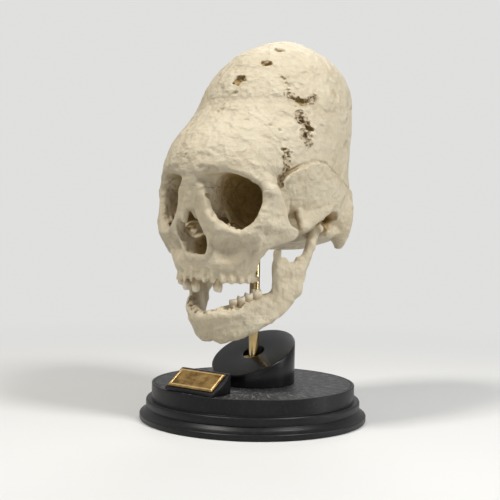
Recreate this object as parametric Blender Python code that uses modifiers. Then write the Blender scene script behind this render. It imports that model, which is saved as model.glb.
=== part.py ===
# Elongated skull on a turned museum stand.
# The braincase and the face are hollow bones that meet along their sutures, the jaw hinges
# on its condyles, and the skull lifts off a brass rod that turns in an oblique collar.
# Metres, +Z up, the face looks along -Y, the origin is under the middle of the plinth.

import math

import bmesh
import bpy
from mathutils import Matrix, Vector

# Driving dimensions of the skull, metres
EAR_HEIGHT = 0.160          # height of the ear axis over the table
FACE_BREADTH = 0.100        # over the outer margins of the two orbits
FACE_DEPTH = 0.100          # from the ear axis to the front of the brow
FACE_HEIGHT = 0.100         # from the brow to the edge of the upper teeth
VAULT_WIDTH = 0.131         # greatest width of the braincase
VAULT_LENGTH = 0.166        # greatest length of the braincase
VAULT_HEIGHT = 0.142        # from the ear axis to the crown
VAULT_WALL = 0.0055         # thickness of the braincase bones
SUTURE_GAP = 0.0003         # gap between two bones at a suture
SUTURE_WAVE = 0.0011        # swing of a suture line to each side
ROOT_GAP = 0.0003           # gap between a tooth and its socket
JAW_GAP = 0.0007            # running gap between a condyle and its socket
CONDYLE_RADIUS = 0.0048
CONDYLE_LENGTH = 0.019
JAW_AXIS_BACK = 0.009       # the jaw axis lies behind the rod axis
JAW_AXIS_DROP = 0.008       # and under the ear axis
TOOTH_RADIUS = 0.0030
TOOTH_ROOT = 0.006          # length of a root in its socket
ORBIT_WIDTH = 0.037
ORBIT_HEIGHT = 0.041
ORBIT_DEPTH = 0.044
NOSE_WIDTH = 0.024
NOSE_HEIGHT = 0.030
FORAMEN_WIDTH = 0.029
FORAMEN_LENGTH = 0.034
EAR_BORE = 0.0065           # width of the ear opening

# How finely the organic forms are laid down
GRAIN = 0.0024              # cell of the fused bone form
BONE_FACES = 4400           # faces kept on the whole cranium
JAW_FACES = 1000            # faces kept on the jaw
OVERRUN = 0.010             # how far a cutter runs past what it cuts

# Driving dimensions of the stand, metres
TOP_DISC_RADIUS = 0.0780
TOP_DISC_THICKNESS = 0.0015
RIM_WALL = 0.0025           # wood left around the disc
DRUM_RADIUS = TOP_DISC_RADIUS + RIM_WALL
RING_STEP = 0.0045          # ring over the drum
RING_RADIUS = DRUM_RADIUS + RING_STEP
FOOT_STEP = 0.0050          # foot over the ring
PLINTH_RADIUS = RING_RADIUS + FOOT_STEP
PLINTH_HEIGHT = 0.0280
FELT_MARGIN = 0.0060        # felt's edge inside the foot's
FELT_RADIUS = PLINTH_RADIUS - FELT_MARGIN
FELT_THICKNESS = 0.0015
SEAT_GAP = 0.0003           # gap between two pieces that touch
COLLAR_RADIUS = 0.0330
COLLAR_MID_HEIGHT = 0.0240  # height of the oblique face on the rod axis, over the plinth
COLLAR_SLOPE = 0.455        # rise of the oblique face to the back, over its run
ROD_RADIUS = 0.0040
ROD_RUNNING_GAP = 0.0003
SLEEVE_WALL = 0.0015
SLEEVE_FLANGE = 0.0025
SOCKET_WALL = 0.0020
SOCKET_LENGTH = 0.0140
SOCKET_TOP_DROP = 0.0030    # top of the socket under the ear axis
NUT_WIDTH = 0.0130
NUT_HEIGHT = 0.0050
WASHER_RADIUS = 0.0090
WASHER_THICKNESS = 0.0012
NUT_POCKET_RADIUS = 0.0120
SCREW_CIRCLE = 0.0220
SCREW_RADIUS = 0.0020
SCREW_HEAD_RADIUS = 0.0040
SCREW_HEAD_HEIGHT = 0.0025
SCREW_REACH = 0.0070        # how far a collar screw enters the collar
WEDGE_WIDTH = 0.0475
WEDGE_SETBACK = 0.0010      # front edge of the wedge inside the disc's
WEDGE_FRONT = TOP_DISC_RADIUS - WEDGE_SETBACK
WEDGE_DEPTH = 0.0210
WEDGE_HEIGHT = 0.0150
WEDGE_NOSE = 0.0020
PLATE_WIDTH = 0.0440
PLATE_LENGTH = 0.0190
PLATE_THICKNESS = 0.0008
PLATE_BORDER = 0.0012
PLATE_RELIEF = 0.00025

# Colours seen on the object
IVORY = (0.80, 0.74, 0.62, 1.0)
TOOTH_CREAM = (0.82, 0.78, 0.68, 1.0)
BLACK_SATIN = (0.012, 0.012, 0.014, 1.0)
BLACK_CLOTH = (0.030, 0.031, 0.034, 1.0)
BRASS = (0.72, 0.53, 0.24, 1.0)
OLD_BRASS = (0.50, 0.34, 0.13, 1.0)
STEEL = (0.55, 0.56, 0.58, 1.0)


for old in list(bpy.data.objects):
    bpy.data.objects.remove(old, do_unlink=True)

scene = bpy.context.scene
parts = bpy.data.collections.new("elongated_skull")
cutters = bpy.data.collections.new("cutters")
scene.collection.children.link(parts)
scene.collection.children.link(cutters)


def material(name, colour, roughness, metallic):
    """Principled material of one kind of surface."""
    mat = bpy.data.materials.get(name)
    if mat is None:
        mat = bpy.data.materials.new(name)
        mat.use_nodes = True
        shader = mat.node_tree.nodes["Principled BSDF"]
        shader.inputs["Base Color"].default_value = colour
        shader.inputs["Roughness"].default_value = roughness
        shader.inputs["Metallic"].default_value = metallic
        mat.diffuse_color = colour
    return mat


def place(mesh, name, home, mat=None):
    """Object of a mesh, in the parts or among the cutters."""
    obj = bpy.data.objects.new(name, mesh)
    home.objects.link(obj)
    if home == cutters:
        obj.hide_render = True
        obj.display_type = "WIRE"
    if mat is not None:
        mesh.materials.clear()
        mesh.materials.append(mat)
    return obj


def evaluated_mesh(obj):
    """Mesh of an object with its modifiers applied."""
    bpy.context.view_layer.update()
    graph = bpy.context.evaluated_depsgraph_get()
    mesh = bpy.data.meshes.new_from_object(obj.evaluated_get(graph))
    mesh.transform(obj.matrix_world)
    return mesh


def discard(*objects):
    for obj in objects:
        bpy.data.objects.remove(obj, do_unlink=True)


def boolean(target, tool, operation="DIFFERENCE"):
    """Cut or join one object with another, at once, and drop the tool."""
    change = target.modifiers.new("cut", "BOOLEAN")
    change.operation = operation
    change.solver = "EXACT"
    change.object = tool
    mesh = evaluated_mesh(target)
    target.modifiers.clear()
    target.data = mesh
    discard(tool)
    return target


def joined(name, pieces, home):
    """One object that holds the meshes of several, which may run into each other."""
    form = bmesh.new()
    for piece in pieces:
        mesh = evaluated_mesh(piece)
        form.from_mesh(mesh)
        bpy.data.meshes.remove(mesh)
    mesh = bpy.data.meshes.new(name)
    form.to_mesh(mesh)
    form.free()
    discard(*pieces)
    return place(mesh, name, home)


def spot(shares):
    """Point of the skull from its shares of the face's breadth, depth and height."""
    x, y, z = shares
    return Vector((x * FACE_BREADTH, y * FACE_DEPTH, EAR_HEIGHT + z * FACE_HEIGHT))


def knob(centre_shares, radius_shares, home=cutters):
    """Egg-shaped lump of bone."""
    form = bmesh.new()
    bmesh.ops.create_uvsphere(form, u_segments=16, v_segments=10, radius=1.0)
    sizes = (FACE_BREADTH, FACE_DEPTH, FACE_HEIGHT)
    bmesh.ops.scale(form, vec=[s * d for s, d in zip(radius_shares, sizes)], verts=form.verts)
    bmesh.ops.translate(form, vec=spot(centre_shares), verts=form.verts)
    mesh = bpy.data.meshes.new("knob")
    form.to_mesh(mesh)
    form.free()
    return place(mesh, "knob", home)


def bar(points, home=cutters):
    """Rounded bar of bone through points (x, y, z, radius), all as shares."""
    curve = bpy.data.curves.new("bar", "CURVE")
    curve.dimensions = "3D"
    curve.bevel_depth = FACE_BREADTH
    curve.bevel_resolution = 3
    curve.resolution_u = 4
    curve.use_fill_caps = True
    spline = curve.splines.new("NURBS")
    spline.points.add(len(points) - 1)
    spline.order_u = 3
    spline.use_endpoint_u = True
    for point, (x, y, z, radius) in zip(spline.points, points):
        point.co = (*spot((x, y, z)), 1.0)
        point.radius = radius
    rod = bpy.data.objects.new("bar", curve)
    home.objects.link(rod)
    mesh = evaluated_mesh(rod)
    discard(rod)
    form = bmesh.new()
    form.from_mesh(mesh)
    bmesh.ops.remove_doubles(form, verts=form.verts, dist=0.01 * SUTURE_GAP)
    form.to_mesh(mesh)
    form.free()
    pieces = [place(mesh, "bar", home)]
    for x, y, z, radius in (points[0], points[-1]):
        pieces.append(knob((x, y, z), (radius, radius * FACE_BREADTH / FACE_DEPTH,
                                       radius * FACE_BREADTH / FACE_HEIGHT), home))
    return joined("bar", pieces, home)


def mirrored(points):
    """The same bar on the other side of the face."""
    return [(-point[0], *point[1:]) for point in points]


def both_bars(points):
    return [bar(points), bar(mirrored(points))]


def both_knobs(centre, radii):
    return [knob(centre, radii), knob((-centre[0], centre[1], centre[2]), radii)]


def loft(rings, name, home=cutters, mat=None):
    """Closed skin over a stack of rings, each a list of points of one length."""
    form = bmesh.new()
    rows = [[form.verts.new(point) for point in ring] for ring in rings]
    count = len(rows[0])
    for low, high in zip(rows, rows[1:]):
        for i in range(count):
            j = (i + 1) % count
            form.faces.new((low[i], low[j], high[j], high[i]))
    form.faces.new(list(reversed(rows[0])))
    form.faces.new(rows[-1])
    bmesh.ops.recalc_face_normals(form, faces=form.faces)
    mesh = bpy.data.meshes.new(name)
    form.to_mesh(mesh)
    form.free()
    return place(mesh, name, home, mat)


def fused(name, pieces, faces, smoothing):
    """Melt overlapping lumps and bars into one smooth closed bone."""
    obj = joined(name, pieces, cutters)
    remesh = obj.modifiers.new("melt", "REMESH")
    remesh.mode = "VOXEL"
    remesh.voxel_size = GRAIN
    smooth = obj.modifiers.new("smooth", "SMOOTH")
    smooth.factor = 0.5
    smooth.iterations = smoothing
    mesh = evaluated_mesh(obj)
    obj.modifiers.clear()
    obj.data = mesh
    form = bmesh.new()
    form.from_mesh(mesh)
    bmesh.ops.triangulate(form, faces=form.faces)
    count = len(form.faces)
    form.to_mesh(mesh)
    form.free()
    fewer = obj.modifiers.new("fewer", "DECIMATE")
    fewer.ratio = min(1.0, faces / count)
    mesh = evaluated_mesh(obj)
    obj.modifiers.clear()
    obj.data = mesh
    return obj


def loose_pieces(obj, smallest):
    """The separate bodies of an object as (mesh, centre) pairs, without crumbs."""
    form = bmesh.new()
    form.from_mesh(obj.data)
    form.faces.ensure_lookup_table()
    seen = set()
    found = []
    for seed in form.faces:
        if seed.index in seen:
            continue
        stack = [seed]
        seen.add(seed.index)
        group = []
        while stack:
            face = stack.pop()
            group.append(face)
            for edge in face.edges:
                for other in edge.link_faces:
                    if other.index not in seen:
                        seen.add(other.index)
                        stack.append(other)
        body = bmesh.new()
        copies = {}
        for face in group:
            corners = []
            for vert in face.verts:
                if vert.index not in copies:
                    copies[vert.index] = body.verts.new(vert.co)
                corners.append(copies[vert.index])
            body.faces.new(corners)
        bmesh.ops.remove_doubles(body, verts=body.verts, dist=0.02 * SUTURE_GAP)
        bmesh.ops.dissolve_degenerate(body, edges=body.edges, dist=0.02 * SUTURE_GAP)
        volume = body.calc_volume(signed=True)
        if volume > smallest:
            centre = sum((vert.co for vert in body.verts), Vector()) / len(body.verts)
            mesh = bpy.data.meshes.new("piece")
            body.to_mesh(mesh)
            found.append((mesh, centre))
        body.free()
    form.free()
    discard(obj)
    return found


# Shape of the braincase
# Each row: height over the ear axis as a share of the vault's height, middle along Y as a
# share of its length, then half-width and half-length as shares of half its width and length.
VAULT_SHARES = [
    (-0.170, 0.240, 0.300, 0.240),
    (-0.141, 0.235, 0.540, 0.420),
    (-0.085, 0.190, 0.760, 0.620),
    (-0.014, 0.131, 0.910, 0.790),
    (0.070, 0.072, 0.970, 0.925),
    (0.155, 0.040, 0.995, 0.965),
    (0.211, 0.022, 1.000, 0.990),
    (0.271, 0.015, 0.995, 1.000),
    (0.327, 0.024, 0.985, 1.000),
    (0.384, 0.041, 0.975, 0.975),
    (0.440, 0.066, 0.960, 0.935),
    (0.496, 0.096, 0.945, 0.880),
    (0.553, 0.122, 0.925, 0.835),
    (0.609, 0.141, 0.900, 0.805),
    (0.675, 0.159, 0.860, 0.800),
    (0.731, 0.170, 0.808, 0.775),
    (0.788, 0.180, 0.745, 0.715),
    (0.844, 0.187, 0.655, 0.632),
    (0.899, 0.190, 0.530, 0.520),
    (0.955, 0.200, 0.335, 0.330),
    (0.990, 0.204, 0.160, 0.160),
]
VAULT_SIDES = 28


def vault_rings(inset, lowest_share):
    """Rings of the braincase, drawn in by a wall thickness."""
    rings = []
    for height, middle, width, length in VAULT_SHARES:
        if height < lowest_share:
            continue
        a = width * VAULT_WIDTH / 2 - inset
        b = length * VAULT_LENGTH / 2 - inset
        if min(a, b) < inset:
            continue
        level = EAR_HEIGHT + height * (VAULT_HEIGHT - inset)
        ring = []
        for i in range(VAULT_SIDES):
            angle = math.tau * i / VAULT_SIDES
            ring.append((a * math.cos(angle), middle * VAULT_LENGTH + b * math.sin(angle), level))
        rings.append(ring)
    return rings


vault = loft(vault_rings(0.0, -1.0), "vault")

# Hollows behind the outer margins of the orbits, where the chewing muscle lay
TEMPLE_MIDDLE_SHARES = (0.68, -0.30, 0.06)
TEMPLE_SHARES = (0.24, 0.27, 0.33)
for hollow in both_knobs(TEMPLE_MIDDLE_SHARES, TEMPLE_SHARES):
    boolean(vault, hollow)
# The braincase ends above the palate
PALATE_CLEAR_SHARES = ((0.0, -0.62, -0.16), (0.62, 0.34, 0.24))
boolean(vault, knob(*PALATE_CLEAR_SHARES))

# Bars and lumps of the face and of the skull's base, each row (x, y, z, radius) as shares
BROW_SHARES = [(0.0, -0.745, 0.300, 0.075), (0.14, -0.735, 0.330, 0.070), (0.28, -0.665, 0.365, 0.060),
        (0.40, -0.570, 0.325, 0.055), (0.485, -0.515, 0.250, 0.048), (0.520, -0.490, 0.170, 0.043)]
OUTER_RIM_SHARES = [(0.520, -0.490, 0.170, 0.043), (0.515, -0.500, 0.060, 0.047),
             (0.490, -0.535, -0.050, 0.056), (0.420, -0.590, -0.130, 0.050)]
LOWER_RIM_SHARES = [(0.450, -0.570, -0.110, 0.055), (0.330, -0.615, -0.150, 0.045),
             (0.240, -0.660, -0.105, 0.042), (0.170, -0.700, -0.045, 0.038),
             (0.130, -0.730, 0.040, 0.038), (0.110, -0.740, 0.130, 0.042),
             (0.080, -0.750, 0.220, 0.050)]
JAW_FRONT_SHARES = [(0.15, -0.705, -0.050, 0.040), (0.205, -0.670, -0.150, 0.052),
             (0.250, -0.620, -0.230, 0.062), (0.230, -0.610, -0.330, 0.070)]
CHEEK_SHARES = [(0.47, -0.52, -0.06, 0.080), (0.49, -0.48, -0.13, 0.085), (0.56, -0.41, -0.10, 0.055),
         (0.61, -0.335, -0.115, 0.036)]
CHEEK_LOW_SHARES = [(0.50, -0.46, -0.16, 0.060), (0.46, -0.52, -0.24, 0.045), (0.40, -0.53, -0.30, 0.040),
             (0.33, -0.47, -0.38, 0.060)]
CHEEK_POST_SHARES = [(0.52, -0.47, 0.16, 0.035), (0.565, -0.42, 0.06, 0.032), (0.57, -0.40, -0.05, 0.034)]
NOSE_BRIDGE_SHARES = [(0.0, -0.755, 0.230, 0.065), (0.0, -0.775, 0.130, 0.045), (0.0, -0.765, 0.030, 0.032)]
NOSE_EDGE_SHARES = [(0.045, -0.755, 0.120, 0.042), (0.090, -0.735, 0.000, 0.034),
             (0.130, -0.715, -0.110, 0.030), (0.135, -0.695, -0.200, 0.036),
             (0.080, -0.675, -0.275, 0.040), (0.0, -0.675, -0.290, 0.036)]
GUM_TOP_SHARES = [(0.0, -0.635, -0.345, 0.050), (0.11, -0.630, -0.335, 0.052),
                  (0.21, -0.600, -0.320, 0.060)]
GUM_SHARES = [(0.0, -0.620, -0.400, 0.066), (0.15, -0.605, -0.400, 0.068), (0.255, -0.545, -0.400, 0.070),
       (0.305, -0.450, -0.395, 0.070), (0.320, -0.350, -0.385, 0.066),
       (0.310, -0.260, -0.360, 0.056)]
GUM_EDGE_SHARES = [(0.0, -0.635, -0.450, 0.042), (0.15, -0.620, -0.450, 0.045),
            (0.265, -0.560, -0.455, 0.045), (0.310, -0.460, -0.455, 0.045),
            (0.320, -0.360, -0.460, 0.044), (0.305, -0.290, -0.440, 0.040)]
WING_SHARES = [(0.14, -0.16, -0.08, 0.055), (0.15, -0.17, -0.22, 0.034), (0.16, -0.18, -0.33, 0.028)]
CLIVUS_SHARES = [(0.0, -0.22, -0.04, 0.110), (0.0, 0.0, -0.080, 0.110), (0.0, 0.16, -0.140, 0.080),
          (0.0, 0.26, -0.185, 0.050)]
ARCH_ROOT_SHARES = [(0.60, 0.13, 0.030, 0.052), (0.625, 0.00, 0.000, 0.050),
             (0.635, -0.11, -0.040, 0.042), (0.630, -0.20, -0.075, 0.034)]
MASTOID_SHARES = [(0.57, 0.38, 0.080, 0.085), (0.555, 0.37, -0.020, 0.100), (0.540, 0.38, -0.120, 0.085),
           (0.520, 0.39, -0.210, 0.045)]
EAR_RIDGE_SHARES = [(0.56, 0.19, -0.085, 0.050), (0.40, 0.16, -0.110, 0.075), (0.22, 0.10, -0.110, 0.080)]
FORAMEN_EDGE_SHARES = [(0.0, 0.265, -0.185, 0.045), (0.12, 0.315, -0.195, 0.052),
                (0.175, 0.43, -0.185, 0.050), (0.13, 0.56, -0.175, 0.048),
                (0.0, 0.630, -0.170, 0.046)]

# Lumps of bone, each a middle and three radii, on both sides: two of the upper jaw, two of the
# base beside the ears, and the root of the wing behind the orbit
LUMP_SHARES = [((0.24, -0.50, -0.22), (0.16, 0.155, 0.21)),
               ((0.20, -0.34, -0.20), (0.16, 0.18, 0.16)),
               ((0.36, 0.10, -0.04), (0.22, 0.20, 0.10)),
               ((0.30, 0.28, -0.10), (0.26, 0.18, 0.09)),
               ((0.33, -0.20, 0.03), (0.12, 0.18, 0.10))]
# The wall between the two orbits
ORBIT_WALL_SHARES = ((0.0, -0.54, 0.10), (0.13, 0.24, 0.17))

pieces = [vault, knob(*ORBIT_WALL_SHARES), bar(NOSE_BRIDGE_SHARES), bar(CLIVUS_SHARES)]
for rows in (BROW_SHARES, OUTER_RIM_SHARES, LOWER_RIM_SHARES, JAW_FRONT_SHARES, CHEEK_SHARES,
             CHEEK_LOW_SHARES, CHEEK_POST_SHARES, NOSE_EDGE_SHARES, GUM_TOP_SHARES, GUM_SHARES,
             GUM_EDGE_SHARES, WING_SHARES, ARCH_ROOT_SHARES, MASTOID_SHARES, EAR_RIDGE_SHARES,
             FORAMEN_EDGE_SHARES):
    pieces += both_bars(rows)
for middle, radii in LUMP_SHARES:
    pieces += both_knobs(middle, radii)
cranium = fused("cranium", pieces, BONE_FACES, 5)

# Inside of the braincase: one high chamber, two side hollows and the hollow over the
# great opening at the back
CAVITY_LOWEST_SHARE = 0.15
cavity = loft(vault_rings(VAULT_WALL, CAVITY_LOWEST_SHARE), "cavity")
wall_share = VAULT_WALL / FACE_BREADTH
for hollow in both_knobs(TEMPLE_MIDDLE_SHARES, [share + wall_share for share in TEMPLE_SHARES]):
    boolean(cavity, hollow)
ORBIT_ROOF_SHARES = ((0.0, -0.60, 0.10), (0.70, 0.37, 0.28))
SIDE_HOLLOW_SHARES = ((0.33, 0.00, 0.200), (0.195, 0.26, 0.200))
BACK_HOLLOW_SHARES = ((0.0, 0.43, 0.170), (0.45, 0.35, 0.270))
boolean(cavity, knob(*ORBIT_ROOF_SHARES))
boolean(cranium, cavity)
for hollow in both_knobs(*SIDE_HOLLOW_SHARES):
    boolean(cranium, hollow)
boolean(cranium, knob(*BACK_HOLLOW_SHARES))


def tunnel(stations, droop=0.0, pear=0.0, sides=16):
    """Tube of changing oval section: rows of centre, half-width and half-height.

    The section sags by droop towards +X and its upper half is drawn in by pear.
    """
    rings = []
    for (x, y, z), half_width, half_height in stations:
        centre = spot((x, y, z))
        ring = []
        for i in range(sides):
            angle = math.tau * i / sides
            swell = (abs(math.cos(angle)) ** 2.6 + abs(math.sin(angle)) ** 2.6) ** (-1 / 2.6)
            across = half_width * swell * math.cos(angle)
            across *= 1.0 - pear * max(0.0, math.sin(angle))
            ring.append((centre.x + across, centre.y,
                         centre.z + half_height * swell * math.sin(angle) + droop * across))
        rings.append(ring)
    return loft(rings, "tunnel")


# Orbits: mouth, then closing to the optic end, as shares of the depth, width and height
ORBIT_MOUTH_SHARES = (0.300, -0.620, 0.090)
ORBIT_DROOP_SHARE = 0.22
ORBIT_SHARES = [(-0.45, 0.06, 1.00), (0.0, 0.0, 1.0), (0.22, -0.02, 1.02), (0.50, -0.10, 0.80),
                (0.80, -0.25, 0.45), (1.0, -0.32, 0.20)]
for side in (1, -1):
    stations = []
    for depth, lean, size in ORBIT_SHARES:
        x = side * (ORBIT_MOUTH_SHARES[0] + lean * ORBIT_WIDTH / FACE_BREADTH)
        y = ORBIT_MOUTH_SHARES[1] + depth * ORBIT_DEPTH / FACE_DEPTH
        stations.append(((x, y, ORBIT_MOUTH_SHARES[2]), size * ORBIT_WIDTH / 2, size * ORBIT_HEIGHT / 2))
    boolean(cranium, tunnel(stations, droop=-side * ORBIT_DROOP_SHARE))

# Nasal passage, from the pear-shaped mouth to the throat
NOSE_MOUTH_SHARES = (0.0, -0.72, -0.120)
PASSAGE_SHARES = [(-0.14, 0.85), (0.0, 0.95), (0.12, 1.0), (0.30, 0.95), (0.46, 0.85), (0.60, 0.75)]
stations = []
for reach, size in PASSAGE_SHARES:
    centre = (0.0, NOSE_MOUTH_SHARES[1] + reach, NOSE_MOUTH_SHARES[2] - 0.10 * reach)
    stations.append((centre, size * NOSE_WIDTH / 2, size * NOSE_HEIGHT / 2))
boolean(cranium, tunnel(stations, pear=0.40))

# Vault of the palate, the great opening under the braincase, jaw sockets and ear openings
PALATE_SHARES = ((0.0, -0.34, -0.50), (0.235, 0.26, 0.150))
boolean(cranium, knob(*PALATE_SHARES))
FORAMEN_SHARES = (0.0, 0.445, -0.18)


def post(centre, half_width, half_length, low, high, sides=24):
    """Upright oval post."""
    rings = []
    for level in (low, high):
        rings.append([(centre.x + half_width * math.cos(math.tau * i / sides),
                       centre.y + half_length * math.sin(math.tau * i / sides), level)
                      for i in range(sides)])
    return loft(rings, "post")


hole = spot(FORAMEN_SHARES)
boolean(cranium, post(hole, FORAMEN_WIDTH / 2, FORAMEN_LENGTH / 2,
                      hole.z - 0.25 * FACE_HEIGHT, hole.z + 0.45 * FACE_HEIGHT))

JAW_AXIS = Vector((0.0, JAW_AXIS_BACK, EAR_HEIGHT - JAW_AXIS_DROP))
CONDYLE_OUT = 0.515 * FACE_BREADTH


def cross_pin(name, centre, radius, length, home=cutters, sides=20):
    """Round pin along X with the edges eased."""
    bpy.ops.mesh.primitive_cylinder_add(vertices=sides, radius=radius, depth=length,
                                        location=centre, rotation=(0.0, math.pi / 2, 0.0))
    pin = bpy.context.object
    mesh = evaluated_mesh(pin)
    discard(pin)
    return place(mesh, name, home)


for side in (1, -1):
    centre = JAW_AXIS + Vector((side * CONDYLE_OUT, 0.0, 0.0))
    boolean(cranium, cross_pin("socket", centre, CONDYLE_RADIUS + JAW_GAP,
                               CONDYLE_LENGTH + 2 * JAW_GAP))
    low = JAW_AXIS + Vector((side * CONDYLE_OUT, 0.0, -0.10 * FACE_HEIGHT))
    boolean(cranium, post(low, CONDYLE_LENGTH / 2 + JAW_GAP, CONDYLE_RADIUS + JAW_GAP,
                          low.z - 0.15 * FACE_HEIGHT, JAW_AXIS.z))
    ear = spot((side * 0.62, 0.19, 0.005))
    boolean(cranium, cross_pin("ear", ear, EAR_BORE / 2, 0.36 * FACE_BREADTH))

# Bore for the rod's socket in the bone in front of the great opening
SOCKET_TOP = EAR_HEIGHT - SOCKET_TOP_DROP
SOCKET_RADIUS = ROD_RADIUS + ROD_RUNNING_GAP + SOCKET_WALL


def upright(name, radius, low, high, home=cutters, mat=None, sides=32):
    """Upright round pin on the rod axis."""
    form = bmesh.new()
    bmesh.ops.create_cone(form, cap_ends=True, segments=sides, radius1=radius, radius2=radius,
                          depth=high - low)
    bmesh.ops.translate(form, vec=(0.0, 0.0, (low + high) / 2), verts=form.verts)
    mesh = bpy.data.meshes.new(name)
    form.to_mesh(mesh)
    form.free()
    return place(mesh, name, home, mat)


boolean(cranium, upright("bore", SOCKET_RADIUS + SEAT_GAP, EAR_HEIGHT - 0.5 * FACE_HEIGHT,
                         SOCKET_TOP + SEAT_GAP))

# Sutures
# A suture is a thin sheet that is taken out between two bones.
def sheet(line, sweep, name, wave=0.0, swing=(0.0, 1.0, 0.0)):
    """Sheet along a line of points, swept by a vector, with a tooth at each half step."""
    points = [Vector(p) for p in line]
    if wave:
        finer = []
        for i, (a, b) in enumerate(zip(points, points[1:])):
            sign = 1 if i % 2 else -1
            finer += [a, (a + b) / 2 + Vector(swing) * wave * sign]
        points = finer + [points[-1]]
    form = bmesh.new()
    low = [form.verts.new(p) for p in points]
    high = [form.verts.new(p + Vector(sweep)) for p in points]
    for i in range(len(points) - 1):
        form.faces.new((low[i], low[i + 1], high[i + 1], high[i]))
    mesh = bpy.data.meshes.new(name)
    form.to_mesh(mesh)
    form.free()
    obj = place(mesh, name, cutters)
    thick = obj.modifiers.new("thick", "SOLIDIFY")
    thick.thickness = SUTURE_GAP
    thick.offset = 0.0
    thick.use_even_offset = True
    mesh = evaluated_mesh(obj)
    discard(obj)
    return place(mesh, name, cutters)


def shell_of(obj):
    """The skin of a closed form, as thick as a suture."""
    thick = obj.modifiers.new("thick", "SOLIDIFY")
    thick.thickness = SUTURE_GAP
    thick.offset = 0.0
    mesh = evaluated_mesh(obj)
    discard(obj)
    return place(mesh, "skin", cutters)


def prism(outline, sweep, name="prism", home=cutters, mat=None):
    """Straight prism on an outline of points."""
    return loft([outline, [Vector(p) + Vector(sweep) for p in outline]], name, home, mat)


SPAN = VAULT_WIDTH + 2 * OVERRUN
CRUMB = GRAIN ** 3 * 4

# The coronal suture runs down from the crown between the forehead and the side bones,
# and on between the face and the base. Rows: depth and height as shares.
CORONAL_SHARES = [(-0.300, -0.70), (-0.225, -0.35), (-0.300, 0.00), (-0.370, 0.22),
                  (-0.385, 0.40), (-0.400, 0.58), (-0.420, 0.72), (-0.460, 0.90), (-0.480, 1.20)]
line = [spot((0.0, y, z)) - Vector((SPAN / 2, 0.0, 0.0)) for y, z in CORONAL_SHARES]
boolean(cranium, sheet(line, (SPAN, 0.0, 0.0), "coronal"))
front, back = sorted(loose_pieces(cranium, CRUMB), key=lambda item: item[1].y)

# The temporal bones: squama at the side of the vault, zygomatic root, mastoid and petrous part
TEMPORAL_PLAN_SHARES = [(0.24, -0.45), (1.0, -0.45), (1.0, 0.60), (0.49, 0.60), (0.24, 0.30)]
TEMPORAL_SIDE_SHARES = [(-0.42, 0.19), (-0.33, 0.215), (-0.26, 0.29), (-0.17, 0.365), (-0.05, 0.41),
                 (0.08, 0.395), (0.20, 0.33), (0.32, 0.245), (0.45, 0.18), (0.72, 0.06),
                 (0.72, -0.60), (-0.14, -0.60), (-0.14, 0.02)]
ROOT_BOX_SHARES = ((0.545, -0.32, -0.17), (0.40, 0.21, 0.24))
rest = place(back[0], "rest", cutters)
for side in (1, -1):
    plan = [spot((side * x, y, -0.70)) for x, y in TEMPORAL_PLAN_SHARES]
    region = prism(plan, (0.0, 0.0, 1.6 * FACE_HEIGHT))
    view = [spot((side * 0.10, y, z)) for y, z in TEMPORAL_SIDE_SHARES]
    boolean(region, prism(view, (side * FACE_BREADTH, 0.0, 0.0)), "INTERSECT")
    (x, y, z), (long_x, long_y, long_z) = ROOT_BOX_SHARES
    foot = [spot((side * (x + a * long_x), y + b * long_y, z))
            for a, b in ((0, 0), (1, 0), (1, 1), (0, 1))]
    boolean(region, prism(foot, (0.0, 0.0, long_z * FACE_HEIGHT)), "UNION")
    boolean(rest, shell_of(region))
bones = {}
for mesh, centre in loose_pieces(rest, CRUMB):
    if abs(centre.x) > 0.3 * FACE_BREADTH:
        bones["temporal_bone_left" if centre.x > 0 else "temporal_bone_right"] = mesh
    else:
        rest = mesh
rest = place(rest, "rest", cutters)

# The sphenoid bone reaches up to the roof bones behind the orbits
WING_EDGE_SHARES = [(-0.46, 0.350), (-0.27, 0.290), (-0.18, 0.250)]
line = [spot((-0.75, y, z)) for y, z in WING_EDGE_SHARES]
boolean(rest, sheet(line, (1.5 * FACE_BREADTH, 0.0, 0.0), "wing edge"))

# The occipital bone: it starts across the clivus, holds the great opening and climbs from
# behind the ears to the back of the crown along the lambdoid suture
CLIVUS_SHARE = 0.100
OCCIPITAL_SIDE_SHARES = [(CLIVUS_SHARE, -0.60), (CLIVUS_SHARE, 0.120), (0.585, 0.120),
                  (1.215, 1.050), (1.500, 1.050), (1.500, -0.60)]
view = [spot((-0.80, y, z)) for y, z in OCCIPITAL_SIDE_SHARES]
boolean(rest, shell_of(prism(view, (1.6 * FACE_BREADTH, 0.0, 0.0))))

for mesh, centre in loose_pieces(rest, CRUMB):
    if centre.z > EAR_HEIGHT + 0.4 * FACE_HEIGHT:
        roof = mesh
    elif centre.y > CLIVUS_SHARE * FACE_DEPTH:
        bones["occipital_bone"] = mesh
    else:
        bones["sphenoid_bone"] = mesh

# The sagittal suture parts the two roof bones along the middle
steps = 18
line = [spot((0.0, -0.60 + 1.75 * i / steps, 0.0)) for i in range(steps + 1)]
obj = boolean(place(roof, "roof", cutters),
              sheet(line, (0.0, 0.0, VAULT_HEIGHT + OVERRUN), "sagittal", SUTURE_WAVE, (1, 0, 0)))
for mesh, centre in loose_pieces(obj, CRUMB):
    bones["parietal_bone_left" if centre.x > 0 else "parietal_bone_right"] = mesh

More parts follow.
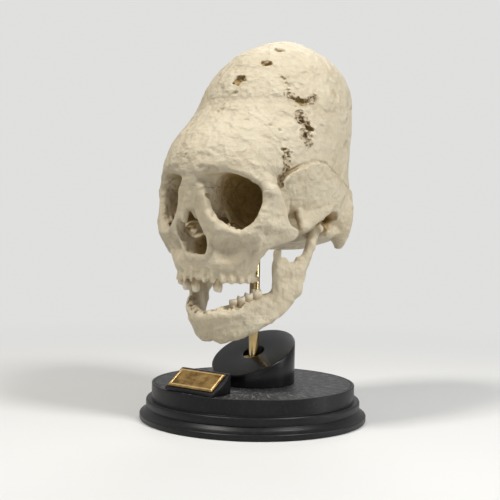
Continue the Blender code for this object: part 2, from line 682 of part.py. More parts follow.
# The frontal bone ends at the roots of the nose and of the cheek bones
FRONTAL_EDGE_SHARES = [(-0.80, 0.190), (-0.45, 0.196), (-0.20, 0.200), (-0.08, 0.225),
                       (0.08, 0.225), (0.20, 0.200), (0.45, 0.196), (0.80, 0.190)]
rest = place(front[0], "rest", cutters)
line = [spot((x, -1.2, z)) for x, z in FRONTAL_EDGE_SHARES]
boolean(rest, sheet(line, (0.0, 1.1 * FACE_DEPTH, 0.0), "frontal edge"))
for mesh, centre in sorted(loose_pieces(rest, CRUMB), key=lambda item: len(item[0].polygons)):
    if centre.z > EAR_HEIGHT + 0.25 * FACE_HEIGHT:
        bones["frontal_bone"] = mesh
    else:
        lower = mesh

# The cheek bones part from the upper jaw on a slanting line under each orbit
CHEEK_EDGE_SHARES = [(0.24, 0.30), (0.24, 0.00), (0.30, -0.12), (0.44, -0.30), (0.62, -0.46)]
rest = place(lower, "rest", cutters)
for side in (1, -1):
    line = [spot((side * x, -1.2, z)) for x, z in CHEEK_EDGE_SHARES]
    boolean(rest, sheet(line, (0.0, 1.1 * FACE_DEPTH, 0.0), "cheek edge"))

# The nasal bones and the ethmoid bone between the orbits
# Each box: its low corner, then its lengths
NASAL_BOX_SHARES = ((-0.062, -1.0, -0.10), (0.124, 0.310, 0.50))
ETHMOID_BOX_SHARES = ((-0.165, -0.630, 0.045), (0.330, 0.45, 0.40))
for (x, y, z), (long_x, long_y, long_z) in (NASAL_BOX_SHARES, ETHMOID_BOX_SHARES):
    foot = [spot((x + a * long_x, y + b * long_y, z)) for a, b in ((0, 0), (1, 0), (1, 1), (0, 1))]
    boolean(rest, shell_of(prism(foot, (0.0, 0.0, long_z * FACE_HEIGHT))))

middle = []
for mesh, centre in loose_pieces(rest, CRUMB):
    if abs(centre.x) > 0.33 * FACE_BREADTH:
        bones["cheek_bone_left" if centre.x > 0 else "cheek_bone_right"] = mesh
    elif centre.y < -0.70 * FACE_DEPTH:
        middle.append(("nasal_bone", mesh))
    elif centre.z > EAR_HEIGHT + 0.045 * FACE_HEIGHT:
        bones["ethmoid_bone"] = mesh
    else:
        middle.append(("upper_jaw", mesh))
for name, mesh in middle:
    line = [spot((0.0, -1.0, -0.70)), spot((0.0, 0.40, -0.70))]
    obj = boolean(place(mesh, name, cutters),
                  sheet(line, (0.0, 0.0, 1.2 * FACE_HEIGHT), "middle"))
    for half, centre in loose_pieces(obj, CRUMB):
        bones[name + ("_left" if centre.x > 0 else "_right")] = half

bone_look = material("bone", IVORY, 0.55, 0.0)
for name in sorted(bones):
    place(bones[name], name, parts, bone_look)

# Lower jaw: two bodies, two rami and the condyles that turn in their sockets
JAW_BASE_SHARES = [(0.0, -0.530, -0.885, 0.072), (0.14, -0.510, -0.890, 0.072),
            (0.27, -0.430, -0.835, 0.064), (0.36, -0.310, -0.755, 0.060),
            (0.43, -0.150, -0.655, 0.054), (0.475, 0.000, -0.530, 0.045)]
JAW_GUM_SHARES = [(0.0, -0.645, -0.745, 0.056), (0.12, -0.630, -0.735, 0.056),
           (0.22, -0.550, -0.705, 0.058), (0.29, -0.450, -0.675, 0.058),
           (0.35, -0.330, -0.640, 0.054), (0.40, -0.210, -0.580, 0.045)]
JAW_MIDDLE_SHARES = [(0.0, -0.590, -0.815, 0.062), (0.13, -0.575, -0.815, 0.062),
              (0.245, -0.490, -0.770, 0.056), (0.33, -0.380, -0.710, 0.052),
              (0.40, -0.230, -0.640, 0.048)]
RAMUS_FRONT_SHARES = [(0.41, -0.260, -0.600, 0.040), (0.44, -0.285, -0.450, 0.034),
               (0.465, -0.305, -0.320, 0.030), (0.475, -0.315, -0.235, 0.023)]
RAMUS_BACK_SHARES = [(0.475, -0.010, -0.540, 0.042), (0.490, 0.035, -0.400, 0.040),
              (0.505, 0.050, -0.250, 0.040), (0.512, 0.080, -0.130, 0.042)]
RAMUS_FAN_SHARES = [0.22, 0.44, 0.66, 0.85]
NOTCH_SHARE = -0.305
pieces = []
for rows in (JAW_BASE_SHARES, JAW_GUM_SHARES, JAW_MIDDLE_SHARES, RAMUS_FRONT_SHARES, RAMUS_BACK_SHARES):
    pieces += both_bars(rows)
# The plate of the ramus fills the space between its front and back edges up to the notch
for share in RAMUS_FAN_SHARES:
    rows = [[a + (b - a) * share for a, b in zip(front_row, back_row)]
            for front_row, back_row in zip(RAMUS_FRONT_SHARES[:3], RAMUS_BACK_SHARES[:3])]
    rows[-1][2] = min(rows[-1][2], NOTCH_SHARE)
    pieces += both_bars(rows)
jaw = fused("jaw", pieces, JAW_FACES, 4)
# The rounded heads are cut clear of their sockets and set on afterwards
for side in (1, -1):
    centre = JAW_AXIS + Vector((side * CONDYLE_OUT, 0.0, 0.0))
    boolean(jaw, cross_pin("clear", centre, 0.75 * CONDYLE_RADIUS, CONDYLE_LENGTH))
    boolean(jaw, post(centre, CONDYLE_LENGTH, 2 * CONDYLE_RADIUS, centre.z, centre.z + OVERRUN))
    boolean(jaw, cross_pin("head", centre, CONDYLE_RADIUS, CONDYLE_LENGTH), "UNION")

# Teeth: worn stubs at their places on the two jaws. Rows: name, place and height of the gum
# over the ear axis, and how far the stub stands out, as shares.
UPPER_TEETH_SHARES = [("upper_canine_left", 0.150, -0.625, -0.490, 0.075),
               ("upper_incisor_right", -0.055, -0.640, -0.490, 0.085),
               ("upper_canine_right", -0.160, -0.620, -0.490, 0.075),
               ("upper_premolar_right", -0.235, -0.585, -0.495, 0.040)]
LOWER_TEETH_SHARES = [("lower_canine_left", 0.215, -0.560, -0.655, 0.030),
               ("lower_premolar_left_1", 0.250, -0.510, -0.645, 0.035),
               ("lower_premolar_left_2", 0.283, -0.458, -0.630, 0.045),
               ("lower_molar_left", 0.315, -0.400, -0.615, 0.055)]
# Empty sockets of the lost teeth
UPPER_SOCKET_SHARES = [(0.055, -0.640), (0.235, -0.585), (0.285, -0.515), (0.310, -0.440),
                 (0.318, -0.360), (-0.285, -0.515), (-0.310, -0.440), (-0.318, -0.360)]
LOWER_SOCKET_SHARES = [(0.045, -0.645), (-0.045, -0.645), (0.125, -0.625), (-0.125, -0.625),
                 (-0.215, -0.560), (-0.283, -0.458), (-0.325, -0.375)]
SOCKET_WIDTH_SHARE = 0.75   # width of an empty socket, over a tooth's
SOCKET_STEP_SHARE = 0.02    # its gum over the gum of the first tooth
TOOTH_TIP_SHARE = 0.80


def stub(root, low, high, radius_low, radius_high, sides=12, name="stub", home=cutters, mat=None):
    """Tapering stub of a tooth or of its socket."""
    rings = []
    for level, radius in ((low, radius_low), (high, radius_high)):
        rings.append([(root.x + radius * math.cos(math.tau * i / sides),
                       root.y + radius * math.sin(math.tau * i / sides), level)
                      for i in range(sides)])
    return loft(rings, name, home, mat)


tooth_look = material("tooth", TOOTH_CREAM, 0.35, 0.0)
jaw_pivot = bpy.data.objects.new("jaw_axis", None)
jaw_pivot.location = JAW_AXIS
parts.objects.link(jaw_pivot)
upper_left = bpy.data.objects["upper_jaw_left"]
upper_right = bpy.data.objects["upper_jaw_right"]
wide = TOOTH_RADIUS + ROOT_GAP
narrow = SOCKET_WIDTH_SHARE * TOOTH_RADIUS
for rows, sockets, up in ((UPPER_TEETH_SHARES, UPPER_SOCKET_SHARES, -1),
                          (LOWER_TEETH_SHARES, LOWER_SOCKET_SHARES, 1)):
    for name, x, y, gum, crown in rows:
        bone = jaw if up > 0 else (upper_left if x > 0 else upper_right)
        root = spot((x, y, gum))
        low, high = sorted((root.z - up * (TOOTH_ROOT + ROOT_GAP), root.z + up * OVERRUN))
        boolean(bone, stub(root, low, high, wide, wide))
        low, high = sorted((root.z - up * TOOTH_ROOT, root.z + up * crown * FACE_HEIGHT))
        radii = (TOOTH_RADIUS, TOOTH_TIP_SHARE * TOOTH_RADIUS)
        tooth = stub(root, low, high, *radii[::up], 12, name, parts, tooth_look)
        if up > 0:
            tooth.parent = jaw_pivot
            tooth.matrix_parent_inverse = Matrix.Translation(-JAW_AXIS)
    for x, y in sockets:
        bone = jaw if up > 0 else (upper_left if x > 0 else upper_right)
        root = spot((x, y, rows[0][3] + SOCKET_STEP_SHARE * up))
        low, high = sorted((root.z - up * TOOTH_ROOT, root.z + up * OVERRUN))
        boolean(bone, stub(root, low, high, narrow, narrow, 6))
jaw = place(jaw.data.copy(), "lower_jaw", parts, bone_look)
jaw.data.transform(Matrix.Translation(-JAW_AXIS))
jaw.location = JAW_AXIS


# The stand, from the table up

def turned(name, profile, mat, steps=64, home=parts):
    """Body turned on the rod axis from a profile (radius, height), top to bottom outside."""
    form = bmesh.new()
    ring = profile[0] == profile[-1]
    verts = [form.verts.new((radius, 0.0, height)) for radius, height in profile[ring:]]
    for a, b in zip(verts, verts[1:] + verts[:1] * ring):
        form.edges.new((a, b))
    mesh = bpy.data.meshes.new(name)
    form.to_mesh(mesh)
    form.free()
    obj = place(mesh, name, home, mat)
    screw = obj.modifiers.new("turn", "SCREW")
    screw.axis = "Z"
    screw.steps = steps
    screw.render_steps = steps
    screw.use_merge_vertices = True
    screw.merge_threshold = 0.00001
    screw.use_smooth_shade = True
    return obj


black_look = material("black_satin", BLACK_SATIN, 0.30, 0.0)
cloth_look = material("black_cloth", BLACK_CLOTH, 0.85, 0.0)
brass_look = material("brass", BRASS, 0.22, 1.0)
plate_look = material("old_brass", OLD_BRASS, 0.40, 1.0)
steel_look = material("steel", STEEL, 0.35, 1.0)

# Plinth: a drum on a stepped and moulded foot, with a recess for the cloth disc on top
FELT_SEAT = FELT_THICKNESS + SEAT_GAP
FOOT_BAND = 0.0044
OGEE_TOP = 0.0092
GROOVE_TOP = 0.0102
RING_TOP = 0.0158
DRUM_EASE = 0.0008
GROOVE_DEPTH = 0.0012
GROOVE_RADIUS = RING_RADIUS - GROOVE_DEPTH
OGEE_RADII_SHARES = [(1.00, 0.0), (0.72, 0.14), (0.42, 0.42), (0.16, 0.78), (0.0, 1.0)]
BORE_RADIUS = ROD_RADIUS + ROD_RUNNING_GAP
SLEEVE_RADIUS = BORE_RADIUS + SLEEVE_WALL
DISC_SEAT = PLINTH_HEIGHT - TOP_DISC_THICKNESS
NUT_POCKET_TOP = 0.5 * PLINTH_HEIGHT
profile = [(SLEEVE_RADIUS + SEAT_GAP, DISC_SEAT - SEAT_GAP),
           (TOP_DISC_RADIUS + SEAT_GAP, DISC_SEAT - SEAT_GAP),
           (TOP_DISC_RADIUS + SEAT_GAP, PLINTH_HEIGHT - DRUM_EASE / 2),
           (DRUM_RADIUS - DRUM_EASE, PLINTH_HEIGHT),
           (DRUM_RADIUS, PLINTH_HEIGHT - DRUM_EASE),
           (DRUM_RADIUS, RING_TOP),
           (RING_RADIUS - 2 * DRUM_EASE, RING_TOP - DRUM_EASE / 2),
           (RING_RADIUS - DRUM_EASE / 2, RING_TOP - 2 * DRUM_EASE),
           (RING_RADIUS, (RING_TOP + GROOVE_TOP) / 2),
           (GROOVE_RADIUS, GROOVE_TOP)]
for out, down in reversed(OGEE_RADII_SHARES):
    profile.append((GROOVE_RADIUS + out * (PLINTH_RADIUS - DRUM_EASE - GROOVE_RADIUS),
                    OGEE_TOP - (1.0 - down) * (OGEE_TOP - FOOT_BAND)))
profile += [(PLINTH_RADIUS, FOOT_BAND - DRUM_EASE), (PLINTH_RADIUS, DRUM_EASE),
            (PLINTH_RADIUS - DRUM_EASE, 0.0), (FELT_RADIUS + SEAT_GAP, 0.0),
            (FELT_RADIUS + SEAT_GAP, FELT_SEAT), (NUT_POCKET_RADIUS, FELT_SEAT),
            (NUT_POCKET_RADIUS, NUT_POCKET_TOP), (SLEEVE_RADIUS + SEAT_GAP, NUT_POCKET_TOP)]
profile.append(profile[0])
plinth = turned("plinth", profile, black_look, 48)

# Cloth glued under the foot
upright("felt_underlay", FELT_RADIUS, 0.0, FELT_THICKNESS, parts, cloth_look, 48)

# Cloth disc laid into the top of the plinth
disc = turned("top_disc", [
    (SLEEVE_RADIUS + SEAT_GAP, PLINTH_HEIGHT), (TOP_DISC_RADIUS, PLINTH_HEIGHT),
    (TOP_DISC_RADIUS, DISC_SEAT), (SLEEVE_RADIUS + SEAT_GAP, DISC_SEAT),
    (SLEEVE_RADIUS + SEAT_GAP, PLINTH_HEIGHT)], cloth_look, 48)

# Collar: a drum cut off at a slant, high at the back, bored for the sleeve
COLLAR_FOOT = PLINTH_HEIGHT + SEAT_GAP
COLLAR_MID = PLINTH_HEIGHT + COLLAR_MID_HEIGHT
COLLAR_TOP = COLLAR_MID + COLLAR_SLOPE * COLLAR_RADIUS + OVERRUN
collar = turned("collar", [
    (SLEEVE_RADIUS + SEAT_GAP, COLLAR_TOP), (COLLAR_RADIUS, COLLAR_TOP),
    (COLLAR_RADIUS, COLLAR_FOOT), (SLEEVE_RADIUS + SEAT_GAP, COLLAR_FOOT),
    (SLEEVE_RADIUS + SEAT_GAP, COLLAR_TOP)], black_look, 48)
reach = COLLAR_RADIUS + OVERRUN
fall = COLLAR_SLOPE * reach
slant = [Vector((-reach, -reach, COLLAR_MID - fall)), Vector((-reach, reach, COLLAR_MID + fall)),
         Vector((-reach, reach, COLLAR_TOP + OVERRUN)),
         Vector((-reach, -reach, COLLAR_TOP + OVERRUN))]
boolean(collar, prism(slant, (2 * reach, 0.0, 0.0)))
SEAT_LEVEL = COLLAR_MID - COLLAR_SLOPE * (SLEEVE_RADIUS + SLEEVE_FLANGE)
boolean(collar, upright("spot face", SLEEVE_RADIUS + SLEEVE_FLANGE + SEAT_GAP,
                        SEAT_LEVEL - SLEEVE_FLANGE, COLLAR_TOP + OVERRUN))

# Sleeve: a flanged brass bush that the rod turns in
sleeve = turned("rod_sleeve", [
    (BORE_RADIUS, SEAT_LEVEL), (SLEEVE_RADIUS + SLEEVE_FLANGE, SEAT_LEVEL),
    (SLEEVE_RADIUS + SLEEVE_FLANGE, SEAT_LEVEL - SLEEVE_FLANGE + SEAT_GAP),
    (SLEEVE_RADIUS, SEAT_LEVEL - SLEEVE_FLANGE + SEAT_GAP), (SLEEVE_RADIUS, NUT_POCKET_TOP),
    (BORE_RADIUS, NUT_POCKET_TOP), (BORE_RADIUS, SEAT_LEVEL)], brass_look, 32)

# Rod, with the washer and nut that hold it down in the pocket of the plinth
WASHER_TOP = NUT_POCKET_TOP - SEAT_GAP
NUT_TOP = WASHER_TOP - WASHER_THICKNESS - SEAT_GAP
ROD_FOOT = NUT_TOP - NUT_HEIGHT - 0.2 * NUT_HEIGHT
ROD_TOP = SOCKET_TOP - SOCKET_WALL - SEAT_GAP
rod = turned("rod", [
    (0.0, ROD_TOP), (ROD_RADIUS - DRUM_EASE, ROD_TOP), (ROD_RADIUS, ROD_TOP - DRUM_EASE),
    (ROD_RADIUS, ROD_FOOT), (0.0, ROD_FOOT)], brass_look, 32)
washer = turned("rod_washer", [
    (BORE_RADIUS, WASHER_TOP), (WASHER_RADIUS, WASHER_TOP),
    (WASHER_RADIUS, WASHER_TOP - WASHER_THICKNESS), (BORE_RADIUS, WASHER_TOP - WASHER_THICKNESS),
    (BORE_RADIUS, WASHER_TOP)], steel_look, 32)
form = bmesh.new()
bmesh.ops.create_cone(form, cap_ends=True, segments=6, radius1=NUT_WIDTH / math.sqrt(3),
                      radius2=NUT_WIDTH / math.sqrt(3), depth=NUT_HEIGHT)
bmesh.ops.translate(form, vec=(0.0, 0.0, NUT_TOP - NUT_HEIGHT / 2), verts=form.verts)
mesh = bpy.data.meshes.new("rod_nut")
form.to_mesh(mesh)
form.free()
nut = place(mesh, "rod_nut", parts, steel_look)
boolean(nut, upright("thread", ROD_RADIUS + ROD_RUNNING_GAP, ROD_FOOT - OVERRUN,
                     NUT_TOP + OVERRUN))

# Three screws from below hold the collar on the plinth
for index in range(3):
    angle = math.tau * (index + 0.25) / 3
    x, y = SCREW_CIRCLE * math.cos(angle), SCREW_CIRCLE * math.sin(angle)
    head_top = FELT_SEAT + SEAT_GAP + SCREW_HEAD_HEIGHT
    shift = Matrix.Translation((x, y, 0.0))
    for home, low, high, radius in (
            (plinth, FELT_SEAT - OVERRUN, head_top + SEAT_GAP, SCREW_HEAD_RADIUS + SEAT_GAP),
            (plinth, head_top, PLINTH_HEIGHT, SCREW_RADIUS + SEAT_GAP),
            (disc, DISC_SEAT - OVERRUN, COLLAR_FOOT + OVERRUN, SCREW_RADIUS + SEAT_GAP),
            (collar, COLLAR_FOOT - OVERRUN, COLLAR_FOOT + SCREW_REACH + SEAT_GAP,
             SCREW_RADIUS + SEAT_GAP)):
        tool = upright("hole", radius, low, high, sides=16)
        tool.data.transform(shift)
        boolean(home, tool)
    screw = turned("collar_screw_%d" % (index + 1), [
        (0.0, COLLAR_FOOT + SCREW_REACH), (SCREW_RADIUS, COLLAR_FOOT + SCREW_REACH),
        (SCREW_RADIUS, head_top), (SCREW_HEAD_RADIUS, head_top),
        (SCREW_HEAD_RADIUS, head_top - SCREW_HEAD_HEIGHT),
        (0.0, head_top - SCREW_HEAD_HEIGHT)], steel_look, 16)
    screw.location = (x, y, 0.0)

# Label wedge on the front of the plinth, with its bare brass plate in a raised border
foot = PLINTH_HEIGHT + SEAT_GAP
side_view = [(-WEDGE_FRONT, foot), (-WEDGE_FRONT + WEDGE_DEPTH, foot),
             (-WEDGE_FRONT + WEDGE_DEPTH, foot + WEDGE_HEIGHT),
             (-WEDGE_FRONT + WEDGE_DEPTH - WEDGE_NOSE, foot + WEDGE_HEIGHT),
             (-WEDGE_FRONT, foot + WEDGE_NOSE)]
view = [Vector((-WEDGE_WIDTH / 2, y, z)) for y, z in side_view]
wedge = prism(view, (WEDGE_WIDTH, 0.0, 0.0), "label_wedge", parts, black_look)
run = WEDGE_DEPTH - WEDGE_NOSE
rise = WEDGE_HEIGHT - WEDGE_NOSE
tilt = math.atan2(rise, run)
bpy.ops.mesh.primitive_cube_add(size=1.0)
plate = bpy.context.object
plate.name = "label_plate"
plate.data.name = "label_plate"
plate.data.transform(Matrix.Diagonal((PLATE_WIDTH, PLATE_LENGTH, PLATE_THICKNESS, 1.0)))
form = bmesh.new()
form.from_mesh(plate.data)
top = max(form.faces, key=lambda face: face.normal.z)
bmesh.ops.inset_region(form, faces=[top], thickness=PLATE_BORDER)
bmesh.ops.translate(form, vec=(0.0, 0.0, -PLATE_RELIEF), verts=top.verts)
form.to_mesh(plate.data)
form.free()
for home in list(plate.users_collection):
    home.objects.unlink(plate)
parts.objects.link(plate)
plate.data.materials.append(plate_look)
lift = PLATE_THICKNESS / 2 + SEAT_GAP
plate.rotation_euler = (tilt, 0.0, 0.0)
plate.location = (0.0, -WEDGE_FRONT + run / 2 - lift * math.sin(tilt),
                  foot + WEDGE_NOSE + rise / 2 + lift * math.cos(tilt))

# Socket: a brass thimble let into the bone over the rod
BLIND_TOP = SOCKET_TOP - SOCKET_WALL
SOCKET_FOOT = SOCKET_TOP - SOCKET_LENGTH
socket = turned("rod_socket", [
    (0.0, SOCKET_TOP), (SOCKET_RADIUS, SOCKET_TOP), (SOCKET_RADIUS, SOCKET_FOOT),
    (BORE_RADIUS, SOCKET_FOOT), (BORE_RADIUS, BLIND_TOP), (0.0, BLIND_TOP)], brass_look, 32)
for obj in parts.objects:
    if obj.type == "MESH":
        obj.data.shade_smooth()
        obj.data.set_sharp_from_angle(angle=math.radians(35.0))
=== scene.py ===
import math

import bpy
import numpy as np
from mathutils import Matrix


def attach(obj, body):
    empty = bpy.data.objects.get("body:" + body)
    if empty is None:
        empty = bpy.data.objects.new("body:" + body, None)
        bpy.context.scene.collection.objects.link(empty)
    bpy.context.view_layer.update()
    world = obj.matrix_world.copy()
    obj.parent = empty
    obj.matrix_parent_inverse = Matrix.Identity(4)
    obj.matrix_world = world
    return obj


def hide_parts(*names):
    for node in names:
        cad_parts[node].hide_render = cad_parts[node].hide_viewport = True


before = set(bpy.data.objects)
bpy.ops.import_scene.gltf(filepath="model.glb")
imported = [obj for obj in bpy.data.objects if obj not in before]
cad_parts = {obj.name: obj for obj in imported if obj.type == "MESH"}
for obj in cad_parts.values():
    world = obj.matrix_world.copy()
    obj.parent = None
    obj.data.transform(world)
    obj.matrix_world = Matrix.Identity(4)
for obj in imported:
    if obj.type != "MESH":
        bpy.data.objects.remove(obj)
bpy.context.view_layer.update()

# The view and the light
# The camera stands to the skull's left and looks slightly down at it. A pale floor fades into an
# equally pale surround. The key and the fill lamp stand in front, the side lamp and a low edge
# lamp on the right, and a weak back lamp behind; all are large and soft.
AZIMUTH, PITCH, ROLL = np.radians([39.0, 2.05, 1.0])
ahead = np.array([-math.sin(AZIMUTH) * math.cos(PITCH), math.cos(AZIMUTH) * math.cos(PITCH),
                  -math.sin(PITCH)])
level = np.array([math.cos(AZIMUTH), math.sin(AZIMUTH), 0.0])
above = np.cross(level, ahead)
right = level * math.cos(ROLL) + above * math.sin(ROLL)
up = above * math.cos(ROLL) - level * math.sin(ROLL)
lens = bpy.data.cameras.new("camera")
lens.lens = 72.0
lens.sensor_width = 36.0
camera = bpy.data.objects.new("camera", lens)


def stand(obj, place, *axes):
    """Put the object at a place with its own X, Y and Z along the three axes."""
    turn = Matrix([(*row,) for row in np.column_stack(axes)]).to_4x4()
    obj.matrix_world = Matrix.Translation(place) @ turn
    bpy.context.scene.collection.objects.link(obj)


stand(camera, (0.4975, -0.6211, 0.1617), right, up, -ahead)
bpy.context.scene.camera = camera
bpy.context.scene.view_settings.view_transform = "Standard"


class Wire:
    """A socket of a node: arithmetic on it adds the Math node that does it."""

    def __init__(self, board, socket):
        self.board = board
        self.socket = socket

    def work(self, operation, first, second):
        return self.board.node("ShaderNodeMath", {"operation": operation}, {0: first, 1: second})

    def __add__(self, other):
        return self.work("ADD", self, other)

    def __sub__(self, other):
        return self.work("SUBTRACT", self, other)

    def __rsub__(self, other):
        return self.work("SUBTRACT", other, self)

    def __mul__(self, other):
        return self.work("MULTIPLY", self, other)

    __radd__ = __add__
    __rmul__ = __mul__

    def over(self, low, high):
        """Share from 0 to 1 of the way from low to high, eased at both ends."""
        return self.board.node("ShaderNodeMapRange", {"interpolation_type": "SMOOTHSTEP"},
                               {"Value": self, "From Min": low, "From Max": high})


class Board:
    """The nodes of a material or of the world, with the shader that they lead to."""

    def __init__(self, owner, shader):
        owner.use_nodes = True
        self.tree = owner.node_tree
        self.shader = self.tree.nodes[shader]

    def node(self, kind, settings=None, ins=None, out=0):
        """A new node with its settings and the values or links of its sockets."""
        node = self.tree.nodes.new(kind)
        for name, value in (settings or {}).items():
            setattr(node, name, value)
        for name, value in (ins or {}).items():
            if isinstance(value, Wire):
                self.tree.links.new(value.socket, node.inputs[name])
            else:
                node.inputs[name].default_value = value
        return Wire(self, node.outputs[out])

    def set(self, name, value):
        if isinstance(value, Wire):
            self.tree.links.new(value.socket, self.shader.inputs[name])
        else:
            self.shader.inputs[name].default_value = value


class Look(Board):
    """A material: colour, roughness and relief go to its shader."""

    def __init__(self, name, roughness, metallic=0.0):
        self.material = bpy.data.materials.new(name)
        super().__init__(self.material, "Principled BSDF")
        self.set("Roughness", roughness)
        self.set("Metallic", metallic)
        self.place = self.node("ShaderNodeTexCoord", out="Object")

    def noise(self, scale, detail=3.0, rough=0.55, place=None):
        return self.node("ShaderNodeTexNoise", ins={
            "Vector": place or self.place, "Scale": scale, "Detail": detail, "Roughness": rough})

    def stored(self, name):
        """The value of that name at the points of the mesh."""
        return self.node("ShaderNodeAttribute", {"attribute_name": name}, out="Fac")

    def vector(self, operation, ins, out=0):
        return self.node("ShaderNodeVectorMath", {"operation": operation}, ins, out)

    def mix(self, share, first, second):
        """Colour that goes from the first to the second as the share goes from 0 to 1."""
        return self.node("ShaderNodeMix", {"data_type": "RGBA"}, out=2,
                         ins={0: share, 6: first, 7: second})

    def relief(self, height, depth, strength=1.0):
        self.set("Normal", self.node("ShaderNodeBump", ins={
            "Strength": strength, "Distance": depth, "Height": height}))


def lamp(name, place, size, power, colour=(1.0, 1.0, 1.0)):
    """A square soft lamp that faces the middle of the object; size in metres, power in watts."""
    light = bpy.data.lights.new(name, "AREA")
    light.size = size
    light.energy = power
    light.color = colour
    obj = bpy.data.objects.new(name, light)
    away = np.array(place) - (0.0, 0.0, 0.17)
    away /= np.linalg.norm(away)
    side = np.cross((0.0, 0.0, 1.0), away)
    side /= np.linalg.norm(side)
    stand(obj, place, side, np.cross(away, side), away)


lamp("key", (-0.26, -0.78, 1.35), 0.26, 12.6, (1.0, 0.97, 0.92))
lamp("side", (0.88, 0.00, 1.10), 0.28, 10.4)
lamp("fill", (0.90, -0.95, 0.30), 0.80, 1.0)
lamp("edge", (1.14, 0.63, 0.20), 0.32, 2.4)
lamp("back", (-0.60, 0.95, 1.10), 0.50, 4.0)

PALE_GREY, UNLIT = (0.93, 0.93, 0.92, 1), (0, 0, 0, 1)
SEEN, LIGHTING = 0.80, 0.16     # strength of the surround as the camera sees it, and as a light
world = bpy.data.worlds.new("surround")
bpy.context.scene.world = world
sky = Board(world, "Background")
seen = (sky.node("ShaderNodeLightPath", out="Is Glossy Ray") * 0.45
        + sky.node("ShaderNodeLightPath", out="Is Camera Ray"))
sky.set("Strength", sky.node("ShaderNodeMapRange", ins={
    "Value": seen, "To Min": LIGHTING, "To Max": SEEN}))
sky.set("Color", PALE_GREY)

floor_mesh = bpy.data.meshes.new("floor")
floor_mesh.from_pydata([(-6, -6, -0.0003), (6, -6, -0.0003), (6, 6, -0.0003), (-6, 6, -0.0003)],
                       [], [(0, 1, 2, 3)])
floor = bpy.data.objects.new("floor", floor_mesh)
bpy.context.scene.collection.objects.link(floor)
paper = Look("floor_paper", 0.9)
fade = paper.vector("LENGTH", {0: paper.place}, 1).over(0.20, 0.75)
sheet = paper.mix(paper.noise(1.5), (0.78, 0.78, 0.77, 1), (0.82, 0.82, 0.81, 1))
paper.set("Base Color", paper.mix(fade, sheet, UNLIT))
paper.set("Emission Color", paper.mix(
    fade * paper.node("ShaderNodeLightPath", out="Is Camera Ray"), UNLIT, PALE_GREY))
paper.set("Emission Strength", SEEN)
paper.set("Specular IOR Level", 0.0)
floor_mesh.materials.append(paper.material)

# The bone
# Old bone, ivory and matt, with a fine grain, and tan where the outer layer is broken. Painted
# shade
# darkens it: tan and olive in its hollows, tan in the grooves of its wrinkles, near black in its
# pores.
# Every bone is a field of distances in millimetres to bars and lumps that melt into each other,
# with the openings cut out of it, and its skin is the field's zero level.
STEP = 0.82      # spacing of the grid that the fields are worked out on
chance = np.random.default_rng(7)
LATTICE = chance.random((32, 32, 32), dtype=np.float32) * 2 - 1
CORNERS = [(i, j, k) for i in (0, 1) for j in (0, 1) for k in (0, 1)]       # of one cell


def rough(x, y, z, size, seed=0):
    """Smooth random swell from -1 to 1: lattice values a size apart, eased between."""
    total = 0.0
    cells, shares = [], []
    for value, shift in zip((x, y, z), (11.3, 5.7, 17.9)):
        value = np.asarray(value, np.float32) / size + shift * (seed + 1)
        cell = np.floor(value)
        share = value - cell
        cells.append(cell.astype(np.int64))
        shares.append(share * share * (3 - 2 * share))
    for corner in CORNERS:
        a, b, c = (share if far else 1 - share for share, far in zip(shares, corner))
        spot = tuple((cell + far) % len(LATTICE) for cell, far in zip(cells, corner))
        total = total + a * b * c * LATTICE[spot]
    return total


def melt(first, second, blend):
    """The lesser of two distances, rounded where they differ by less than the blend."""
    near = np.maximum(blend - np.abs(first - second), 0.0)
    return np.minimum(first, second) - near * near / (4 * blend)


def smooth_line(points, steps=4):
    """Curve through the rows: between two rows each number follows a cubic whose slopes are
    half the difference of the neighbours on both sides."""
    points = np.asarray(points, float)
    ends = np.vstack((2 * points[0] - points[1], points, 2 * points[-1] - points[-2]))
    share = np.linspace(0, 1, steps, endpoint=False)[None, :, None]
    a, b, c, d = (ends[k:len(ends) - 3 + k, None, :] for k in range(4))
    curve = 0.5 * (2 * b + (c - a) * share + (2 * a - 5 * b + 4 * c - d) * share ** 2
                   + (3 * b - a - 3 * c + d) * share ** 3)
    return np.vstack((curve.reshape(-1, points.shape[1]), points[-1:]))


def bar(*points):
    """Distance to a smooth line through rows x, y, z, radius, less the radius there."""
    line = smooth_line(points)
    reach = line[:, 3:]

    def field(x, y, z):
        best = np.float32(1e3)
        for start, end in zip(line[:-1], line[1:]):
            span = (end - start)[:3]
            at = ((x - start[0]) * span[0] + (y - start[1]) * span[1]
                  + (z - start[2]) * span[2]) / max(span @ span, 1e-6)
            at = np.clip(at, 0, 1)
            far = np.sqrt((x - start[0] - at * span[0]) ** 2 + (y - start[1] - at * span[1]) ** 2
                          + (z - start[2] - at * span[2]) ** 2)
            best = np.minimum(best, far - (start[3] + at * (end[3] - start[3])))
        return best
    return (line[:, :3] - reach).min(0), (line[:, :3] + reach).max(0), field


def lump(centre, radii, ragged=0.0, size=3.0):
    """About the distance to an egg: its share of the radii, scaled back by its slope."""
    def field(x, y, z):
        u, v, w = ((value - c) / r for value, c, r in zip((x, y, z), centre, radii))
        share = np.sqrt(u * u + v * v + w * w) + 1e-6
        slope = np.sqrt((u / radii[0]) ** 2 + (v / radii[1]) ** 2 + (w / radii[2]) ** 2) + 1e-6
        far = share * (share - 1) / slope
        return far + ragged * rough(x, y, z, size) if ragged else far
    reach = np.array(radii, float) + ragged
    return np.array(centre) - reach, np.array(centre) + reach, field


def web(first, second, shares):
    """Bars between two bars, at the shares of the way from one to the other."""
    first, second = np.array(first, float), np.array(second, float)
    return [bar(*(first + (second - first) * share)) for share in shares]


